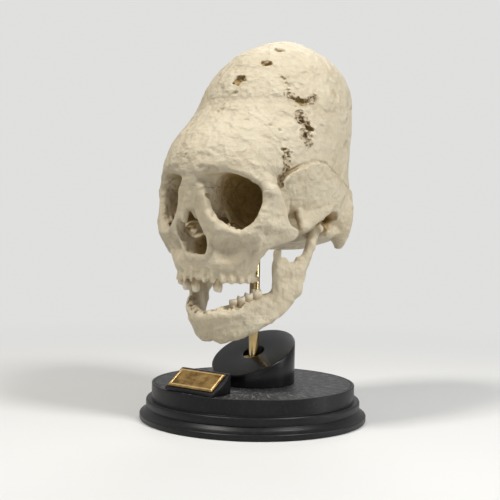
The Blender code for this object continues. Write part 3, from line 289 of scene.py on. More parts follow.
def tunnel(stations, outline, ragged=0.0, size=3.0):
    """Oval tube along Y: the distance from its middle line less a radius that is read around
    the outline (x, z points about its own middle) and scaled along the line."""
    stations = np.array(stations, float)
    outline = np.array(outline, float)
    angles = np.arctan2(outline[:, 1], outline[:, 0])
    order = np.argsort(angles)
    angles, spread = angles[order], np.hypot(*outline[order].T)
    fine = np.linspace(-math.pi, math.pi, 181)
    radius = np.interp(fine, angles, spread, period=math.tau)
    for _ in range(6):
        radius = (np.roll(radius, 3) + radius + np.roll(radius, -3)) / 3

    def field(x, y, z):
        cx, cz, scale = (np.interp(y, stations[:, 0], stations[:, k]) for k in (1, 2, 3))
        u, w = x - cx, z - cz
        far = np.hypot(u, w) - np.interp(np.arctan2(w, u), fine, radius) * scale
        far = np.maximum(far * 0.9, np.maximum(stations[0, 0] - y, y - stations[-1, 0]))
        return far + ragged * rough(x, y, z, size) if ragged else far
    wide = spread.max() * stations[:, 3].max() + ragged
    low = (stations[:, 1].min() - wide, stations[0, 0], stations[:, 2].min() - wide)
    high = (stations[:, 1].max() + wide, stations[-1, 0], stations[:, 2].max() + wide)
    return np.array(low), np.array(high), field


def outline_distance(points, u, v):
    """Distance of (u, v) from a closed outline, negative inside."""
    points = np.array(points, float)
    best = np.full(np.broadcast(u, v).shape, 1e9, np.float32)
    sign = np.ones(best.shape, np.float32)
    for (a, b), (c, d) in zip(points, np.roll(points, -1, 0)):
        du, dv = c - a, d - b
        at = np.clip(((u - a) * du + (v - b) * dv) / (du * du + dv * dv), 0, 1)
        best = np.minimum(best, (u - a - at * du) ** 2 + (v - b - at * dv) ** 2)
        if b != d:
            crosses = ((v >= b) != (v >= d)) & (u < a + (v - b) * du / dv)
            sign = np.where(crosses, -sign, sign)
    return sign * np.sqrt(best)


class Field:
    """Distances on a grid of points, negative inside the bone."""

    def __init__(self, low, high):
        self.low = np.floor(np.array(low, float) / STEP) * STEP
        self.count = np.ceil((np.array(high, float) - self.low) / STEP).astype(int) + 1
        self.value = np.full(self.count, 60.0, np.float32)

    def axes(self, start=(0, 0, 0), stop=None):
        stop = self.count if stop is None else stop
        lines = [(self.low[k] + STEP * np.arange(start[k], stop[k])).astype(np.float32)
                 for k in range(3)]
        return lines[0][:, None, None], lines[1][None, :, None], lines[2][None, None, :]

    def change(self, form, blend, cut=False):
        """Melt a form into the bone, or cut it out, on the part of the grid that it reaches."""
        low, high, shape = form
        start = np.clip(np.floor((low - blend - 2 - self.low) / STEP), 0, self.count - 1)
        stop = np.clip(np.ceil((high + blend + 2 - self.low) / STEP) + 1, 0, self.count)
        start, stop = start.astype(int), stop.astype(int)
        if (stop <= start).any():
            return
        part = tuple(slice(a, b) for a, b in zip(start, stop))
        new = shape(*self.axes(start, stop)).astype(np.float32)
        old = self.value[part]
        self.value[part] = -melt(-old, new, blend) if cut else melt(old, new, blend)

    def add(self, blend, *forms):
        for form in forms:
            self.change(form, blend)

    def cut(self, blend, *forms):
        for form in forms:
            self.change(form, blend, True)

    def mirrored(self):
        """The whole of a field whose grid starts at X = 0."""
        whole = Field((0, 0, 0), (1, 1, 1))
        whole.low = self.low * (0, 1, 1) - (STEP * (self.count[0] - 1), 0, 0)
        whole.value = np.concatenate((self.value[:0:-1], self.value))
        whole.count = np.array(whole.value.shape)
        return whole


def skin(value, low):
    """Points and four-sided faces of a field's zero level: one point in each cell that the
    level crosses, at the mean of the crossings of the cell's edges, and one face across each
    edge of the grid whose ends differ in sign, turned so that it faces out of the bone."""
    value = np.pad(value, 1, constant_values=5.0)
    inside = value < 0
    size = np.array(value.shape) - 1
    tally = np.zeros(size, np.int8)
    for i, j, k in CORNERS:
        tally += inside[i:i + size[0], j:j + size[1], k:k + size[2]]
    cells = np.argwhere((tally > 0) & (tally < 8))
    names = np.full(size, -1, np.int64)
    names[tuple(cells.T)] = np.arange(len(cells))
    at = {c: value[tuple((cells + c).T)] for c in CORNERS}
    total = np.zeros((len(cells), 3))
    hits = np.zeros(len(cells))
    for axis in range(3):
        for c in (corner for corner in CORNERS if not corner[axis]):
            d = tuple(1 if k == axis else c[k] for k in range(3))
            a, b = at[c], at[d]
            crossed = (a < 0) != (b < 0)
            share = np.where(crossed, a / np.where(crossed, a - b, 1.0), 0.0)
            point = np.tile(np.array(c, float), (len(cells), 1))
            point[:, axis] = share
            total += point * crossed[:, None]
            hits += crossed
    points = (cells + total / hits[:, None] - 1) * STEP + low
    faces = []
    for axis in range(3):
        one, two = (axis + 1) % 3, (axis + 2) % 3
        ahead = [slice(None)] * 3
        ahead[axis] = slice(1, None)
        behind = [slice(None)] * 3
        behind[axis] = slice(None, -1)
        first, last = inside[tuple(behind)], inside[tuple(ahead)]
        edges = np.argwhere(first != last)
        edges = edges[(edges[:, one] > 0) & (edges[:, two] > 0)
                      & (edges[:, one] < value.shape[one] - 1)
                      & (edges[:, two] < value.shape[two] - 1)]
        ring = []
        for p, q in ((-1, -1), (0, -1), (0, 0), (-1, 0)):
            cell = edges.copy()
            cell[:, one] += p
            cell[:, two] += q
            ring.append(names[tuple(cell.T)])
        face = np.stack(ring, 1)
        turned = ~first[tuple(edges.T)]
        face[turned] = face[turned][:, ::-1]
        faces.append(face)
    return points, np.concatenate(faces)


def whole_pieces(points, faces, least=200):
    """The faces whose connected piece has at least so many, without loose crumbs: each point
    takes the lowest name among its neighbours until nothing changes."""
    name = np.arange(len(points))
    edges = np.concatenate([faces[:, (k, (k + 1) % 4)] for k in range(4)])
    while True:
        low = np.minimum(name[edges[:, 0]], name[edges[:, 1]])
        new = name.copy()
        np.minimum.at(new, edges[:, 0], low)
        np.minimum.at(new, edges[:, 1], low)
        new = new[new]
        if (new == name).all():
            break
        name = new
    owner = name[faces[:, 0]]
    names, count = np.unique(owner, return_counts=True)
    kept = faces[np.isin(owner, names[count >= least])]
    used, flat = np.unique(kept, return_inverse=True)
    return points[used], flat.reshape(-1, 4)


def mesh_of(name, points, faces, look, smooth=True):
    """Mesh object of points in millimetres and faces that all have as many corners."""
    mesh = bpy.data.meshes.new(name)
    mesh.vertices.add(len(points))
    mesh.vertices.foreach_set("co", (np.asarray(points) * 0.001).astype(np.float32).ravel())
    sides = faces.shape[1]
    mesh.loops.add(faces.size)
    mesh.loops.foreach_set("vertex_index", faces.astype(np.int32).ravel())
    mesh.polygons.add(len(faces))
    mesh.polygons.foreach_set("loop_start", np.arange(0, faces.size, sides, dtype=np.int32))
    mesh.polygons.foreach_set("use_smooth", np.full(len(faces), smooth))
    mesh.update(calc_edges=True)
    mesh.validate()
    mesh.materials.append(look.material)
    obj = bpy.data.objects.new(name, mesh)
    bpy.context.scene.collection.objects.link(obj)
    return obj


def store(obj, name, values):
    """Store a value of that name at each point of the mesh, for the material to read."""
    attribute = obj.data.attributes.new(name, "FLOAT", "POINT")
    attribute.data.foreach_set("value", np.asarray(values, np.float32))


def capped(rings):
    """Points and triangles of rings that follow each other, closed round the middle of the
    first and of the last."""
    here = np.arange(rings[..., 0].size).reshape(rings.shape[:2])
    after = np.roll(here, -1, 1)
    first, last = here[:1] * 0 + here.size, here[:1] * 0 + here.size + 1
    faces = [(here[:-1], after[:-1], after[1:]), (here[:-1], after[1:], here[1:]),
             (first, after[:1], here[:1]), (last, here[-1:], after[-1:])]
    return (np.vstack((rings.reshape(-1, 3), rings[[0, -1]].mean(1))),
            np.vstack([np.stack(face, -1).reshape(-1, 3) for face in faces]))


def blurred(value, radius):
    """Mean of the values in a box of that half-width, from running sums along each axis."""
    for axis in range(3):
        n = 2 * radius + 1
        pad = [(0, 0)] * 3
        pad[axis] = (radius + 1, radius)
        total = np.cumsum(np.pad(value, pad, mode="edge"), axis=axis, dtype=np.float32)
        far = [slice(None)] * 3
        near = [slice(None)] * 3
        far[axis], near[axis] = slice(n, None), slice(None, -n)
        value = (total[tuple(far)] - total[tuple(near)]) / n
    return value


def sampled(value, low, points, step=STEP):
    """Values of a grid at points, blended between the eight nearest."""
    at = np.clip((points - low) / step, 0, np.array(value.shape) - 1.001)
    cell = at.astype(int)
    share = at - cell
    total = 0.0
    for corner in CORNERS:
        weight = np.abs(1 - np.array(corner) - share).prod(1)
        total = total + weight * value[tuple((cell + corner).T)]
    return total


bone = Look("bone", 0.6)
hollow_shade = bone.stored("hollow_shade")
worn = bone.stored("worn")
cloud = bone.noise(30.0, 4.0)
blotch = bone.noise(110.0, 4.0, 0.6)
fleck = bone.noise(330.0, 4.0, 0.7)
wrinkle = bone.node("ShaderNodeTexNoise", ins={
    "Vector": bone.node("ShaderNodeMapping", ins={
        "Vector": bone.place, "Scale": (110, 110, 260), "Rotation": (0.5, -0.45, 0.0)}),
    "Scale": 1.0, "Detail": 4.0, "Roughness": 0.6, "Distortion": 1.2})
sponge = bone.noise(380.0, 2.0, 0.5)
open_bone = (worn + (blotch - 0.5) * 1.1).over(0.42, 0.72)
pore = open_bone * sponge.over(0.50, 0.60)
IVORY, PALE = (0.66, 0.57, 0.405, 1), (0.74, 0.66, 0.495, 1)
TAN, OLIVE_SHADE, PORE_SHADE = (0.47, 0.335, 0.17, 1), (0.33, 0.225, 0.065, 1), (0.13, 0.08, 0.03, 1)
colour = bone.mix((cloud * 0.6 + blotch * 0.4).over(0.36, 0.66), IVORY, PALE)
colour = bone.mix(fleck.over(0.60, 0.76) * 0.35, colour, TAN)
# Painted shade: the grooves of the wrinkles, low in the relief, go tan.
colour = bone.mix(wrinkle.over(0.46, 0.30) * 0.22, colour, TAN)
# Painted shade: points with much bone ahead of them, and points deep in the orbits, nose, ears
# and braincase, go tan and then olive.
colour = bone.mix((hollow_shade + (blotch - 0.5) * 0.4).over(0.22, 0.95) * 0.85, colour, TAN)
colour = bone.mix((hollow_shade + (fleck - 0.5) * 0.3).over(0.75, 1.30) * 0.9, colour, OLIVE_SHADE)
colour = bone.mix(open_bone * 0.45, colour, TAN)
# Painted shade: the pores, dented by the relief, go near-black brown.
colour = bone.mix(pore * 0.5, colour, PORE_SHADE)
bone.set("Base Color", colour)
bone.set("Roughness", 0.48 + fleck * 0.22)
lively = bone.noise(55.0, 2.0).over(0.36, 0.62) * 0.8 + 0.2
bone.relief((wrinkle * 0.30 + blotch * 0.75) * lively + fleck * 0.30 + bone.noise(1100.0) * 0.06
            - pore * 0.8, 0.0030, 1.0)

# The braincase
# A hollow shell of bone about 5 mm thick, drawn up and back, with a flattened brow. Its oval
# sections follow the height over the table, and the base closes it below.
CROWN, BASE, WALL = 302.0, 133.0, 5.5
# Rows: height, middle along Y, half-width, half-length
SECTIONS = np.array([
    (132.0, 40.0, 8.0, 8.0), (135.9, 39.8, 19.6, 19.9), (140.0, 39.0, 35.4, 34.9),
    (147.9, 31.5, 49.8, 51.5), (158.0, 21.7, 59.6, 65.6), (169.9, 12.0, 63.5, 76.8),
    (182.0, 6.6, 65.2, 80.1), (190.0, 3.7, 65.5, 82.2), (198.5, 2.5, 65.2, 83.0),
    (206.4, 4.0, 64.5, 83.0), (214.5, 6.8, 63.9, 80.9), (222.5, 11.0, 62.9, 77.6),
    (230.4, 15.9, 61.9, 73.0), (238.5, 20.3, 60.6, 69.3), (246.5, 23.4, 59.0, 66.8),
    (255.9, 26.4, 56.3, 66.4), (263.8, 28.2, 52.9, 64.3), (271.9, 29.9, 48.8, 59.3),
    (279.8, 31.0, 42.9, 52.5), (287.7, 31.5, 34.7, 43.2), (295.6, 33.2, 21.9, 27.4),
    (300.6, 33.9, 10.5, 13.3), (302.2, 34.0, 3.0, 3.6)])
SECTIONS[:, 2:] **= 2           # squares of the half-widths are smoother near the crown
sections = smooth_line(SECTIONS, 12)
for _ in range(3):
    sections[2:-2] = sum(sections[k:len(sections) - 4 + k] for k in range(5)) / 5


def braincase(x, y, z):
    """Distance from the oval sections: the root of (x / half-width) squared plus
    (y / half-length) squared, less one, over the slope of that root."""
    middle, wide, long = (np.interp(z, sections[:, 0], sections[:, k]) for k in (1, 2, 3))
    share = np.sqrt(x * x / np.maximum(wide, 1) + (y - middle) ** 2 / np.maximum(long, 1))
    share = share.astype(np.float32)
    slope = np.sqrt(sum(g * g for g in np.gradient(share, STEP)))
    return (share - 1) / np.maximum(slope, 0.008)


half = Field((0, -84, 104), (69, 98, 305))
x, y, z = half.axes()
vault = np.maximum(braincase(x, y, z), np.maximum(z - CROWN, BASE - z))
vault_low = half.low
half.value = vault.copy()
half.cut(6.0, lump((70, -30, 166), (24, 25, 31)))
half.cut(3.0, lump((0, -62, 144), (62, 34, 24)))

# The face and the base
# The left half is worked out and mirrored. Bars make the margins of the orbits, the nose, the
# cheek, the gum and the great opening, webs of bars the plates between them, lumps the bodies.
OUTER = [(52.0, -49.5, 178, 4.4), (51.0, -50.5, 168, 4.6), (48.5, -53.5, 156, 5.4)]
REAR = [(53.5, -45.5, 177, 3.6), (56.3, -41.0, 167, 3.2), (57.8, -39.5, 156, 3.6)]
half.add(5.0,
         bar((0, -73.5, 190, 7.5), (14, -73.0, 194, 7.0), (28, -66.5, 197, 6.0),
             (40, -57.5, 193, 5.4), (48.5, -51.5, 186, 4.6), (52, -49.5, 178, 4.4)),
         lump((0, -54, 172), (12, 22, 19)),
         bar((0, -75.0, 184, 6.0), (0, -76.8, 175, 4.0), (0, -77.5, 167, 2.6)))
TOP = [(16, -70, 158, 4.4), (26, -66, 149, 4.2), (35, -61.5, 145.5, 4.4), (45, -56.5, 148, 4.8)]
MIDDLE = [(18, -66, 139, 4.6), (25, -59.5, 134, 5), (33, -54, 134, 5), (43, -50.5, 138, 5)]
LOW = [(17, -62.5, 123, 5.5), (25, -57, 123, 5.3), (30, -50, 123.5, 5.0), (31, -43, 124.5, 4.6)]
UPPER = [(48, -53, 154, 5.6), (53, -45.5, 152, 5.4), (58, -38.5, 151, 4.4),
         (62, -31.5, 149, 2.6)]
LOWER = [(41, -51, 135, 5.0), (47, -47, 140.5, 4.6), (53.5, -40.5, 143.5, 4.2),
         (59.5, -34, 146, 3.0)]
half.add(3.5,
         bar(*OUTER, (43, -58.0, 149, 5.0)), bar(*REAR), *web(OUTER, REAR, (0.35, 0.7)),
         bar((19, -68.5, 151, 5.2), (14, -71.8, 159, 4.8), (11, -73.0, 167, 4.6),
             (8.5, -74.5, 176, 4.8), (7, -75, 184, 5.0)),
         *web(TOP, MIDDLE, (0, 0.33, 0.66, 1)), *web(MIDDLE, LOW, (0.33, 0.66, 1)),
         *web(UPPER, LOWER, (0, 0.5, 1)),
         bar((42, -48, 138, 4.8), (36.5, -48.5, 131, 4.6), (31, -45, 124, 4.6)),
         lump((27, -33, 170), (27.5, 20, 26)),
         bar((48, -47, 184, 4.5), (50, -39, 178, 4.5), (50.5, -33, 168, 4.5), (50, -33, 158, 4)),
         lump((25, -50, 138), (15.5, 14.5, 21)), lump((20, -34, 140), (15, 17, 15)))
half.add(2.0,
         bar((24, -71.8, 193.2, 2.0), (31.5, -69.4, 193.6, 2.2), (38.8, -64.6, 191.8, 2.2),
             (45.2, -59.0, 188.0, 2.2), (51.0, -53.0, 181.8, 2.4), (53, -50.5, 176.5, 2.6)))
half.add(1.6,
         bar((3.5, -76.3, 172, 3.0), (7.5, -74.8, 160, 2.8), (11.5, -72.5, 149, 2.4),
             (13.8, -69.8, 140, 2.6), (8.5, -67.8, 130.0, 3.0), (0, -67.5, 130.0, 3.0)),
         bar((0, -67.5, 131.0, 2.2), (0, -71.0, 133.4, 1.3)))
half.add(4.0,
         bar((0, -63.5, 125.5, 5.0), (11, -63, 126.5, 5.2), (21, -60, 128, 6.0)),
         bar((0, -62, 120, 5.6), (15, -60.3, 120, 6.0), (25.5, -54.5, 120, 6.4),
             (28, -46, 120.5, 5.6), (29, -38, 121.5, 5.4), (28.5, -31.5, 124, 4.8)))
half.add(1.8,
         bar((0, -63.5, 114.5, 3.9), (15, -62, 114.5, 4.0), (24.5, -56.5, 114.0, 4.0),
             (28.5, -47, 114.0, 4.0), (29, -38, 113.5, 4.0), (28.5, -33, 115.5, 3.6)))
half.add(4.0,
         bar((14, -16, 152, 5.2), (15, -17, 138, 2.8), (16, -18, 127, 2.2)),
         bar((0, -22, 156, 11), (0, 0, 152, 11), (0, 16, 146, 8), (0, 26, 141.5, 5)),
         bar((0, 26.5, 141.5, 4.5), (12, 31.5, 140.5, 5.2), (17.5, 43, 141.5, 5.0),
             (13, 56, 142.5, 4.8), (0, 63, 143, 4.6)),
         lump((36, 10, 156), (22, 20, 10)), lump((30, 28, 150), (26, 18, 9)),
         lump((33, -20, 163), (12, 18, 10)),
         bar((57, 38, 168, 8.5), (55.5, 37, 158, 10), (54, 38.5, 147, 7.4), (52.5, 40, 139, 4.0)),
         bar((55, 17, 151, 3.4), (40, 16, 149, 7.0), (22, 10, 149, 7.6)))
half.add(4.5,
         bar((57.5, 38, 180.5, 4.0), (61.0, 22, 174, 4.2), (62.4, 10, 167.4, 4.0),
             (62.4, -3, 160.6, 3.8), (62.2, -12, 156.2, 3.6), (62.2, -21, 152.6, 2.6)),
         bar((56, 30, 184, 5.0), (57.5, 15, 178, 5.5), (57.2, 2, 172, 5.0), (55, -8, 166, 3.5)),
         bar((58.5, 16, 173, 4.4), (58.4, 4, 167, 4.6), (57.6, -6, 161.5, 4.4),
             (57.0, -14, 157.5, 4.0)),
         bar((61.2, -19.5, 154.5, 3.0), (58.0, -12, 161, 4.0), (55, -4, 167, 4.0)),
         bar((61.4, -20.0, 153.6, 2.8), (58.4, -20.5, 159.5, 3.2), (56.6, -20.0, 165, 3.4)))
half.add(2.5,
         bar((58.5, 4, 153.5, 2.4), (57.0, 13, 149, 3.0), (55.5, 22, 146.5, 3.2),
             (55.5, 29, 149.0, 2.8)))

# The raised plate at the side of the braincase, in side view (y, z), with a fan of low ribs on it
# and a fine groove around it
PLATE = [(-41, 178), (-38.5, 186.5), (-34, 192), (-25, 196.8), (-15, 200.0), (-7, 201.0),
         (2, 199.6), (10, 195.5), (20, 190.5), (30, 186), (40, 184), (52, 181), (60, 172),
         (52, 160), (-6, 158), (-20, 158), (-33, 164)]
side_view = outline_distance(smooth_line(PLATE + PLATE[:1], 5)[:-1], y, z)
fan = rough(11 * np.arctan2(y - 12, z - 150), 0.16 * np.hypot(y - 12, z - 150), 0.0, 1.1, 8)
swell = 2.1 + 0.45 * fan * np.clip(-side_view / 4, 0, 1)
plate = np.maximum(vault - swell, side_view + 0.9 * rough(0.0, y, z, 4.0)
                   + 0.7 * rough(0.0, y, z, 1.9, 2))
half.value = melt(half.value, np.maximum(plate, 30 - x), 0.4)
step_down = np.exp(-((side_view - 0.9) / 0.9) ** 2) * np.clip((z - 160) / 8, 0, 1)
half.value += (1.1 * step_down * np.clip((x - 40) / 4, 0, 1)).astype(np.float32)

# Hollows: the braincase, the orbits, the nose, the palate, the great opening and the ear
inner = np.maximum(vault + WALL, 181.5 - z + 0.06 * y)
for kept in (lump((70, -30, 166), (29, 30, 36)), lump((0, -58, 170), (88, 42, 30))):
    inner = -melt(-inner, kept[2](x, y, z), 3.0)
half.value = -melt(-half.value, inner, 1.5)
half.cut(1.5, lump((33, 0, 180), (19.5, 26, 20)), lump((0, 43, 177), (45, 35, 27)))
ORBIT = [(17.5, 3.5), (17.0, 9.5), (11, 15.5), (3, 20.0), (-5, 21.2), (-12.5, 19.5),
         (-17.0, 12), (-17.2, 4), (-15, -6), (-11, -13), (-3.5, -17.5), (5, -19.5), (12, -16.0),
         (16.2, -8)]
orbit = tunnel([(-100, 33, 171, 1.05), (-64, 30.5, 170.5, 1.0), (-52, 29.5, 170, 1.02),
                (-44, 28.0, 170, 0.97), (-36, 26, 170, 0.85), (-29, 24, 170, 0.62),
                (-23, 22, 170, 0.2)], ORBIT, 0.35, 2.4)
half.cut(0.9, orbit)
half.cut(8.0, lump((30, -67.5, 136), (11, 6, 8)))
half.cut(3.0, lump((34, -29.5, 121.5), (10, 10.5, 7.5)))
LOWER_RIM = [(13.5, -67, 173), (15.0, -68, 165), (19.0, -66, 157.8), (27.5, -62, 153),
             (36, -58.5, 151), (42, -56, 152.5)]
for px, py, pz in smooth_line(LOWER_RIM, 4):            # the torn edge of the orbit's floor
    size = chance.uniform(0.9, 2.3)
    half.cut(0.4, lump((px + chance.uniform(-1, 1), py + 2.0, pz + 0.4), (size, 2.8, size),
                       0.7, 1.7))
half.cut(0.8, *(lump(centre, (6.0, 6.5, 6.0), 1.3, 2.2) for centre in
                ((24, -53, 150.5), (31, -51.5, 148), (38, -48.5, 149))))
half.cut(5.0, lump((16.5, -80, 187), (8, 9, 5)))
half.cut(2.5, lump((14.5, -83.0, 195.0), (5, 4.5, 2.2), 0.4, 2.5),
         lump((21.5, -79.0, 193.0), (4, 4.5, 2.2), 0.4, 2.5))
half.cut(0.8, lump((12.8, -72.0, 174.5), (3.4, 3.5, 2.2), ragged=0.9, size=2.2))
NOSE = [(0, 15.5), (-3.8, 12), (-5.8, 7), (-9.4, 0), (-11.8, -7), (-11.2, -13.5), (-6, -16.5),
        (0, -14.5), (6, -16.5), (11.2, -13.5), (11.8, -7), (9.4, 0), (5.8, 7), (3.8, 12)]
nose = tunnel([(-100, 0, 147, 0.98), (-72, 0, 147, 0.98), (-55, 0, 146.5, 1.0),
               (-35, 0, 145.5, 0.94), (-10, 0, 143, 0.8)], NOSE, 1.1, 3.0)
half.cut(1.0, nose)
half.cut(2.0, lump((0, -47, 158), (7.5, 20, 13)))
half.cut(2.5, lump((0, -34, 110), (23.5, 26, 15)))
half.cut(2.0, bar((0, 44.5, 120, 14.5), (0, 44.5, 190, 14.5)))
ear = lump((62.5, 15.5, 157.5), (9.0, 8.0, 7.2), 0.5, 3.0)
half.cut(1.2, ear, bar((70, 17, 159, 3.2), (44, 19, 160, 3.0)))
half.cut(0.8, bar((43.0, 9, 152, 5.2), (51.5, 9, 152, 6.2), (60.5, 9, 152, 5.2)),
         bar((44.5, 8.6, 146, 4.8), (51.5, 8.6, 144, 5.6), (59, 8.6, 146, 4.8)),
         bar((51.5, 8, 140, 5.4), (51.5, 6, 132, 5.4)))

skull = half.mirrored()

# Broken places on the left side: holes along the middle suture, a gap and open spongy bone
# behind the forehead, and pits in front of the raised plate. Rows: place, then width
HOLES = np.array([
    (19.1, 2.3, 290.5, 3.6), (21.2, -17.5, 277.4, 3.4), (22.6, -15.5, 276.9, 2.6),
    (9.9, -34.9, 264.6, 4.4), (8.4, -36.2, 262.0, 3.6), (9.2, -40.2, 252.9, 1.9),
    (3.2, -48.3, 240.2, 2.0), (0.6, -48.9, 238.6, 1.6), (28.3, -47.9, 231.5, 1.3),
    (43.7, -38.9, 227.8, 1.6), (46.2, -36.8, 227.0, 1.3), (49.9, -34.9, 223.9, 1.3),
    (-3.3, -79.5, 204.3, 1.1), (-5.0, -79.4, 202.3, 0.9), (-1.5, -79.6, 201.6, 0.8)])
GAP = [(44.5, -18.5, 251.5), (47.5, -14.2, 248.6), (50.5, -10.5, 246.6), (53.0, -6.0, 247.6),
       (55.0, -1.0, 249.8), (55.4, 3.0, 251.4)]
SPONGE = [(54.0, -16.0, 236.0), (55.2, -14.6, 234.0), (55.6, -14.6, 231.6), (57.0, -13.4, 228.6),
          (58.0, -14.2, 225.0), (58.4, -17.6, 221.6), (59.9, -15.6, 218.6), (60.9, -14.4, 216.2)]
SEAM = [(56.2, -35.8, 208.5), (56.6, -35.6, 205.5), (56.2, -37.4, 201.8), (57.6, -35.4, 198.6),
        (57.0, -36.4, 194.8), (55.4, -38.8, 190.4), (54.0, -40.2, 186.4), (53.4, -40.8, 183.0)]
for px, py, pz, size in HOLES:
    skull.cut(0.8, lump((px, py, pz), (size * 1.25, size, size * 0.95), size * 0.38, 1.9))
for point, size in zip(smooth_line(GAP, 2),
                       (0.8, 1.2, 1.7, 2.4, 2.9, 2.2, 1.6, 1.9, 2.3, 1.6, 0.9)):
    skull.cut(0.5, lump(point, (size * 1.4, size * 1.3, size * 0.75), 1.2, 1.9))
skull.cut(1.0, lump((57.8, 25.4, 256.0), (3.4, 3.6, 5.4), 0.8, 2.4))
near = []
for spots, count, spread, sizes in ((SPONGE, 64, 6.4, (0.8, 2.3)), (SEAM, 30, 3.0, (0.6, 1.6)),
                                    (GAP, 14, 5.0, (0.6, 1.2))):
    line = smooth_line(spots, 6)
    at = line[chance.integers(0, len(line), count)] + chance.normal(0, spread * 0.5, (count, 3))
    for point, size in zip(at, chance.uniform(*sizes, count)):
        skull.cut(0.3, lump(point, (size * 1.3, size, size * 0.8), 0.5 * size, 1.7))
    near.append((line, 0.6 * spread + 1.5))
small = smooth_line([(33.5, -18.0, 268.5), (37.5, -16.5, 264.0), (41.0, -16.4, 259.2),
                     (44.4, -17.0, 253.6)], 4)
for point in small + chance.normal(0, 0.5, small.shape):
    skull.cut(0.5, lump(point, (1.2, 1.9, 1.0), 0.5, 1.9))

# Sockets of the lost upper teeth, with the thin walls between them left jagged, and the broken
# side of the nose
SOCKETS = [(5.2, -64.2), (12.0, -63.4), (18.6, -60.8), (23.6, -57.0), (27.0, -51.2),
           (28.6, -44.8), (29.0, -38.2), (28.6, -32.4)]
for px, py in SOCKETS[:6]:                              # ridges over the front roots
    for side in (1, -1):
        skull.add(1.3, bar((side * px * 1.13, py - 3.3, 112.0, 2.0),
                           (side * px * 1.05, py - 2.6, 123.5, 1.5)))
for px, py in SOCKETS:
    for side in (1, -1):
        wide = 2.1 if py < -50 else 2.5
        skull.cut(0.6, lump((side * px, py, 108.5), (wide, wide, 8.5), 0.7, 2.0))
for turn in np.linspace(-1.0, 1.0, 27) + chance.uniform(-0.02, 0.02, 27):
    px, py = 29.5 * math.sin(turn * 1.9), -30 - 34.5 * math.cos(turn * 1.62)
    skull.cut(0.5, lump((px, py, 110.2), (1.9, 5.0, chance.uniform(2.0, 6.8)), 0.8, 1.8))
skull.cut(0.8, lump((-11.5, -68.0, 149.0), (5.6, 12.0, 9.5), 1.0, 2.6),
          lump((-14, -56, 150), (5.5, 11, 6.5), 0.8, 2.6))

# The bones of the skull
# Each bone is the part of the field inside a region whose edges are the sutures. A wobble makes
# the sutures wander, and the bones overlap by a hair, so that closed sutures show as fine lines.
# The bones are glued to each other and carried by the socket in the base.
OVERLAP = 0.25
x, y, z = skull.axes()
wobble = 1.1 * rough(0.2 * x, y, z, 5.0, 3) + 0.5 * rough(0.3 * x, y, z, 2.0, 4)


def reading(rows, at):
    """The second number of the rows, read between them where the first is at."""
    return np.interp(at, *np.array(rows, float).T)


CORONAL = [(90, -30), (125, -22.5), (160, -30), (182, -37), (200, -38.5), (218, -40),
           (232, -43), (250, -48), (290, -50)]          # height, then place along Y
coronal = (y - reading(CORONAL, z)) * 0.9 + wobble
temporal = outline_distance([(-41, 181), (-33, 190), (-25, 195.5), (-15, 199), (-7, 200),
                             (2, 198.6), (10, 194.5), (20, 189.5), (30, 185), (40, 182.5),
                             (45, 178), (72, 166), (72, 100), (-14, 100), (-14, 142),
                             (-34, 142), (-34, 165)], y, z) + wobble
temporal = np.maximum(temporal, np.maximum(24 - np.abs(x), y - 30 - (np.abs(x) - 24) * 1.2))
wing = z - reading([(-46, 195), (-27, 189), (-18, 185)], y) + wobble
occipital = outline_distance([(10, 100), (10, 172), (58.5, 172), (121.5, 265), (150, 265),
                              (150, 100)], y, z) + 1.4 * wobble
FOREHEAD = [(-80, 179), (-45, 179.6), (-20, 180), (-8, 182.5), (8, 182.5), (20, 180),
            (45, 179.6), (80, 179)]                     # place along X, then height
forehead = reading(FOREHEAD, x) - z + wobble
CHEEK_LINE = [(114, 62), (130, 44), (148, 30), (160, 24), (190, 24)]    # height, place along X
cheek = reading(CHEEK_LINE, z) - np.abs(x) + wobble
nasal = np.maximum(np.maximum(np.abs(x) - 6.2, y + 69), 150 - z) + 0.3 * wobble
ethmoid = np.maximum(np.maximum(np.abs(x) - 16.5, -63 - y), np.maximum(y + 18, 164.5 - z))
SAGITTAL = [(170, 0), (240, 0.5), (248, 7), (256, 9.5), (266, 11), (277, 20), (290, 17),
            (299, 7), (303, 0)]                         # height, place along X in front
bend = reading(SAGITTAL, z) * np.clip((20 - y) / 30, 0, 1)
sagittal = x - bend + wobble * np.where(z > 200, 1, 0)
left_of, right_of = 0.10 - sagittal, 0.10 + sagittal
REGIONS = {
    "frontal_bone": (coronal, forehead),
    "nasal_bone_left": (coronal, -forehead, nasal, -x),
    "nasal_bone_right": (coronal, -forehead, nasal, x),
    "ethmoid_bone": (coronal, -forehead, ethmoid, -nasal),
    "cheek_bone_left": (coronal, -forehead, cheek, -ethmoid, -x),
    "cheek_bone_right": (coronal, -forehead, cheek, -ethmoid, x),
    "upper_jaw_left": (coronal, -forehead, -cheek, -ethmoid, -nasal, -x),
    "upper_jaw_right": (coronal, -forehead, -cheek, -ethmoid, -nasal, x),
    "temporal_bone_left": (-coronal, temporal, -x),
    "temporal_bone_right": (-coronal, temporal, x),
    "occipital_bone": (-coronal, -temporal, occipital),
    "sphenoid_bone": (-coronal, -temporal, -occipital, wing),
    "parietal_bone_left": (-coronal, -temporal, -occipital, -wing, left_of),
    "parietal_bone_right": (-coronal, -temporal, -occipital, -wing, right_of)}


def normals_of(points, faces):
    """Unit normals at the points: the sum of the cross products of each face's diagonals."""
    across = np.cross(points[faces[:, 2]] - points[faces[:, 0]],
                      points[faces[:, 3]] - points[faces[:, 1]])
    total = np.stack([sum(np.bincount(faces[:, c], across[:, k], len(points)) for c in range(4))
                      for k in range(3)], 1)
    return total / np.maximum(np.linalg.norm(total, axis=1, keepdims=True), 1e-9)


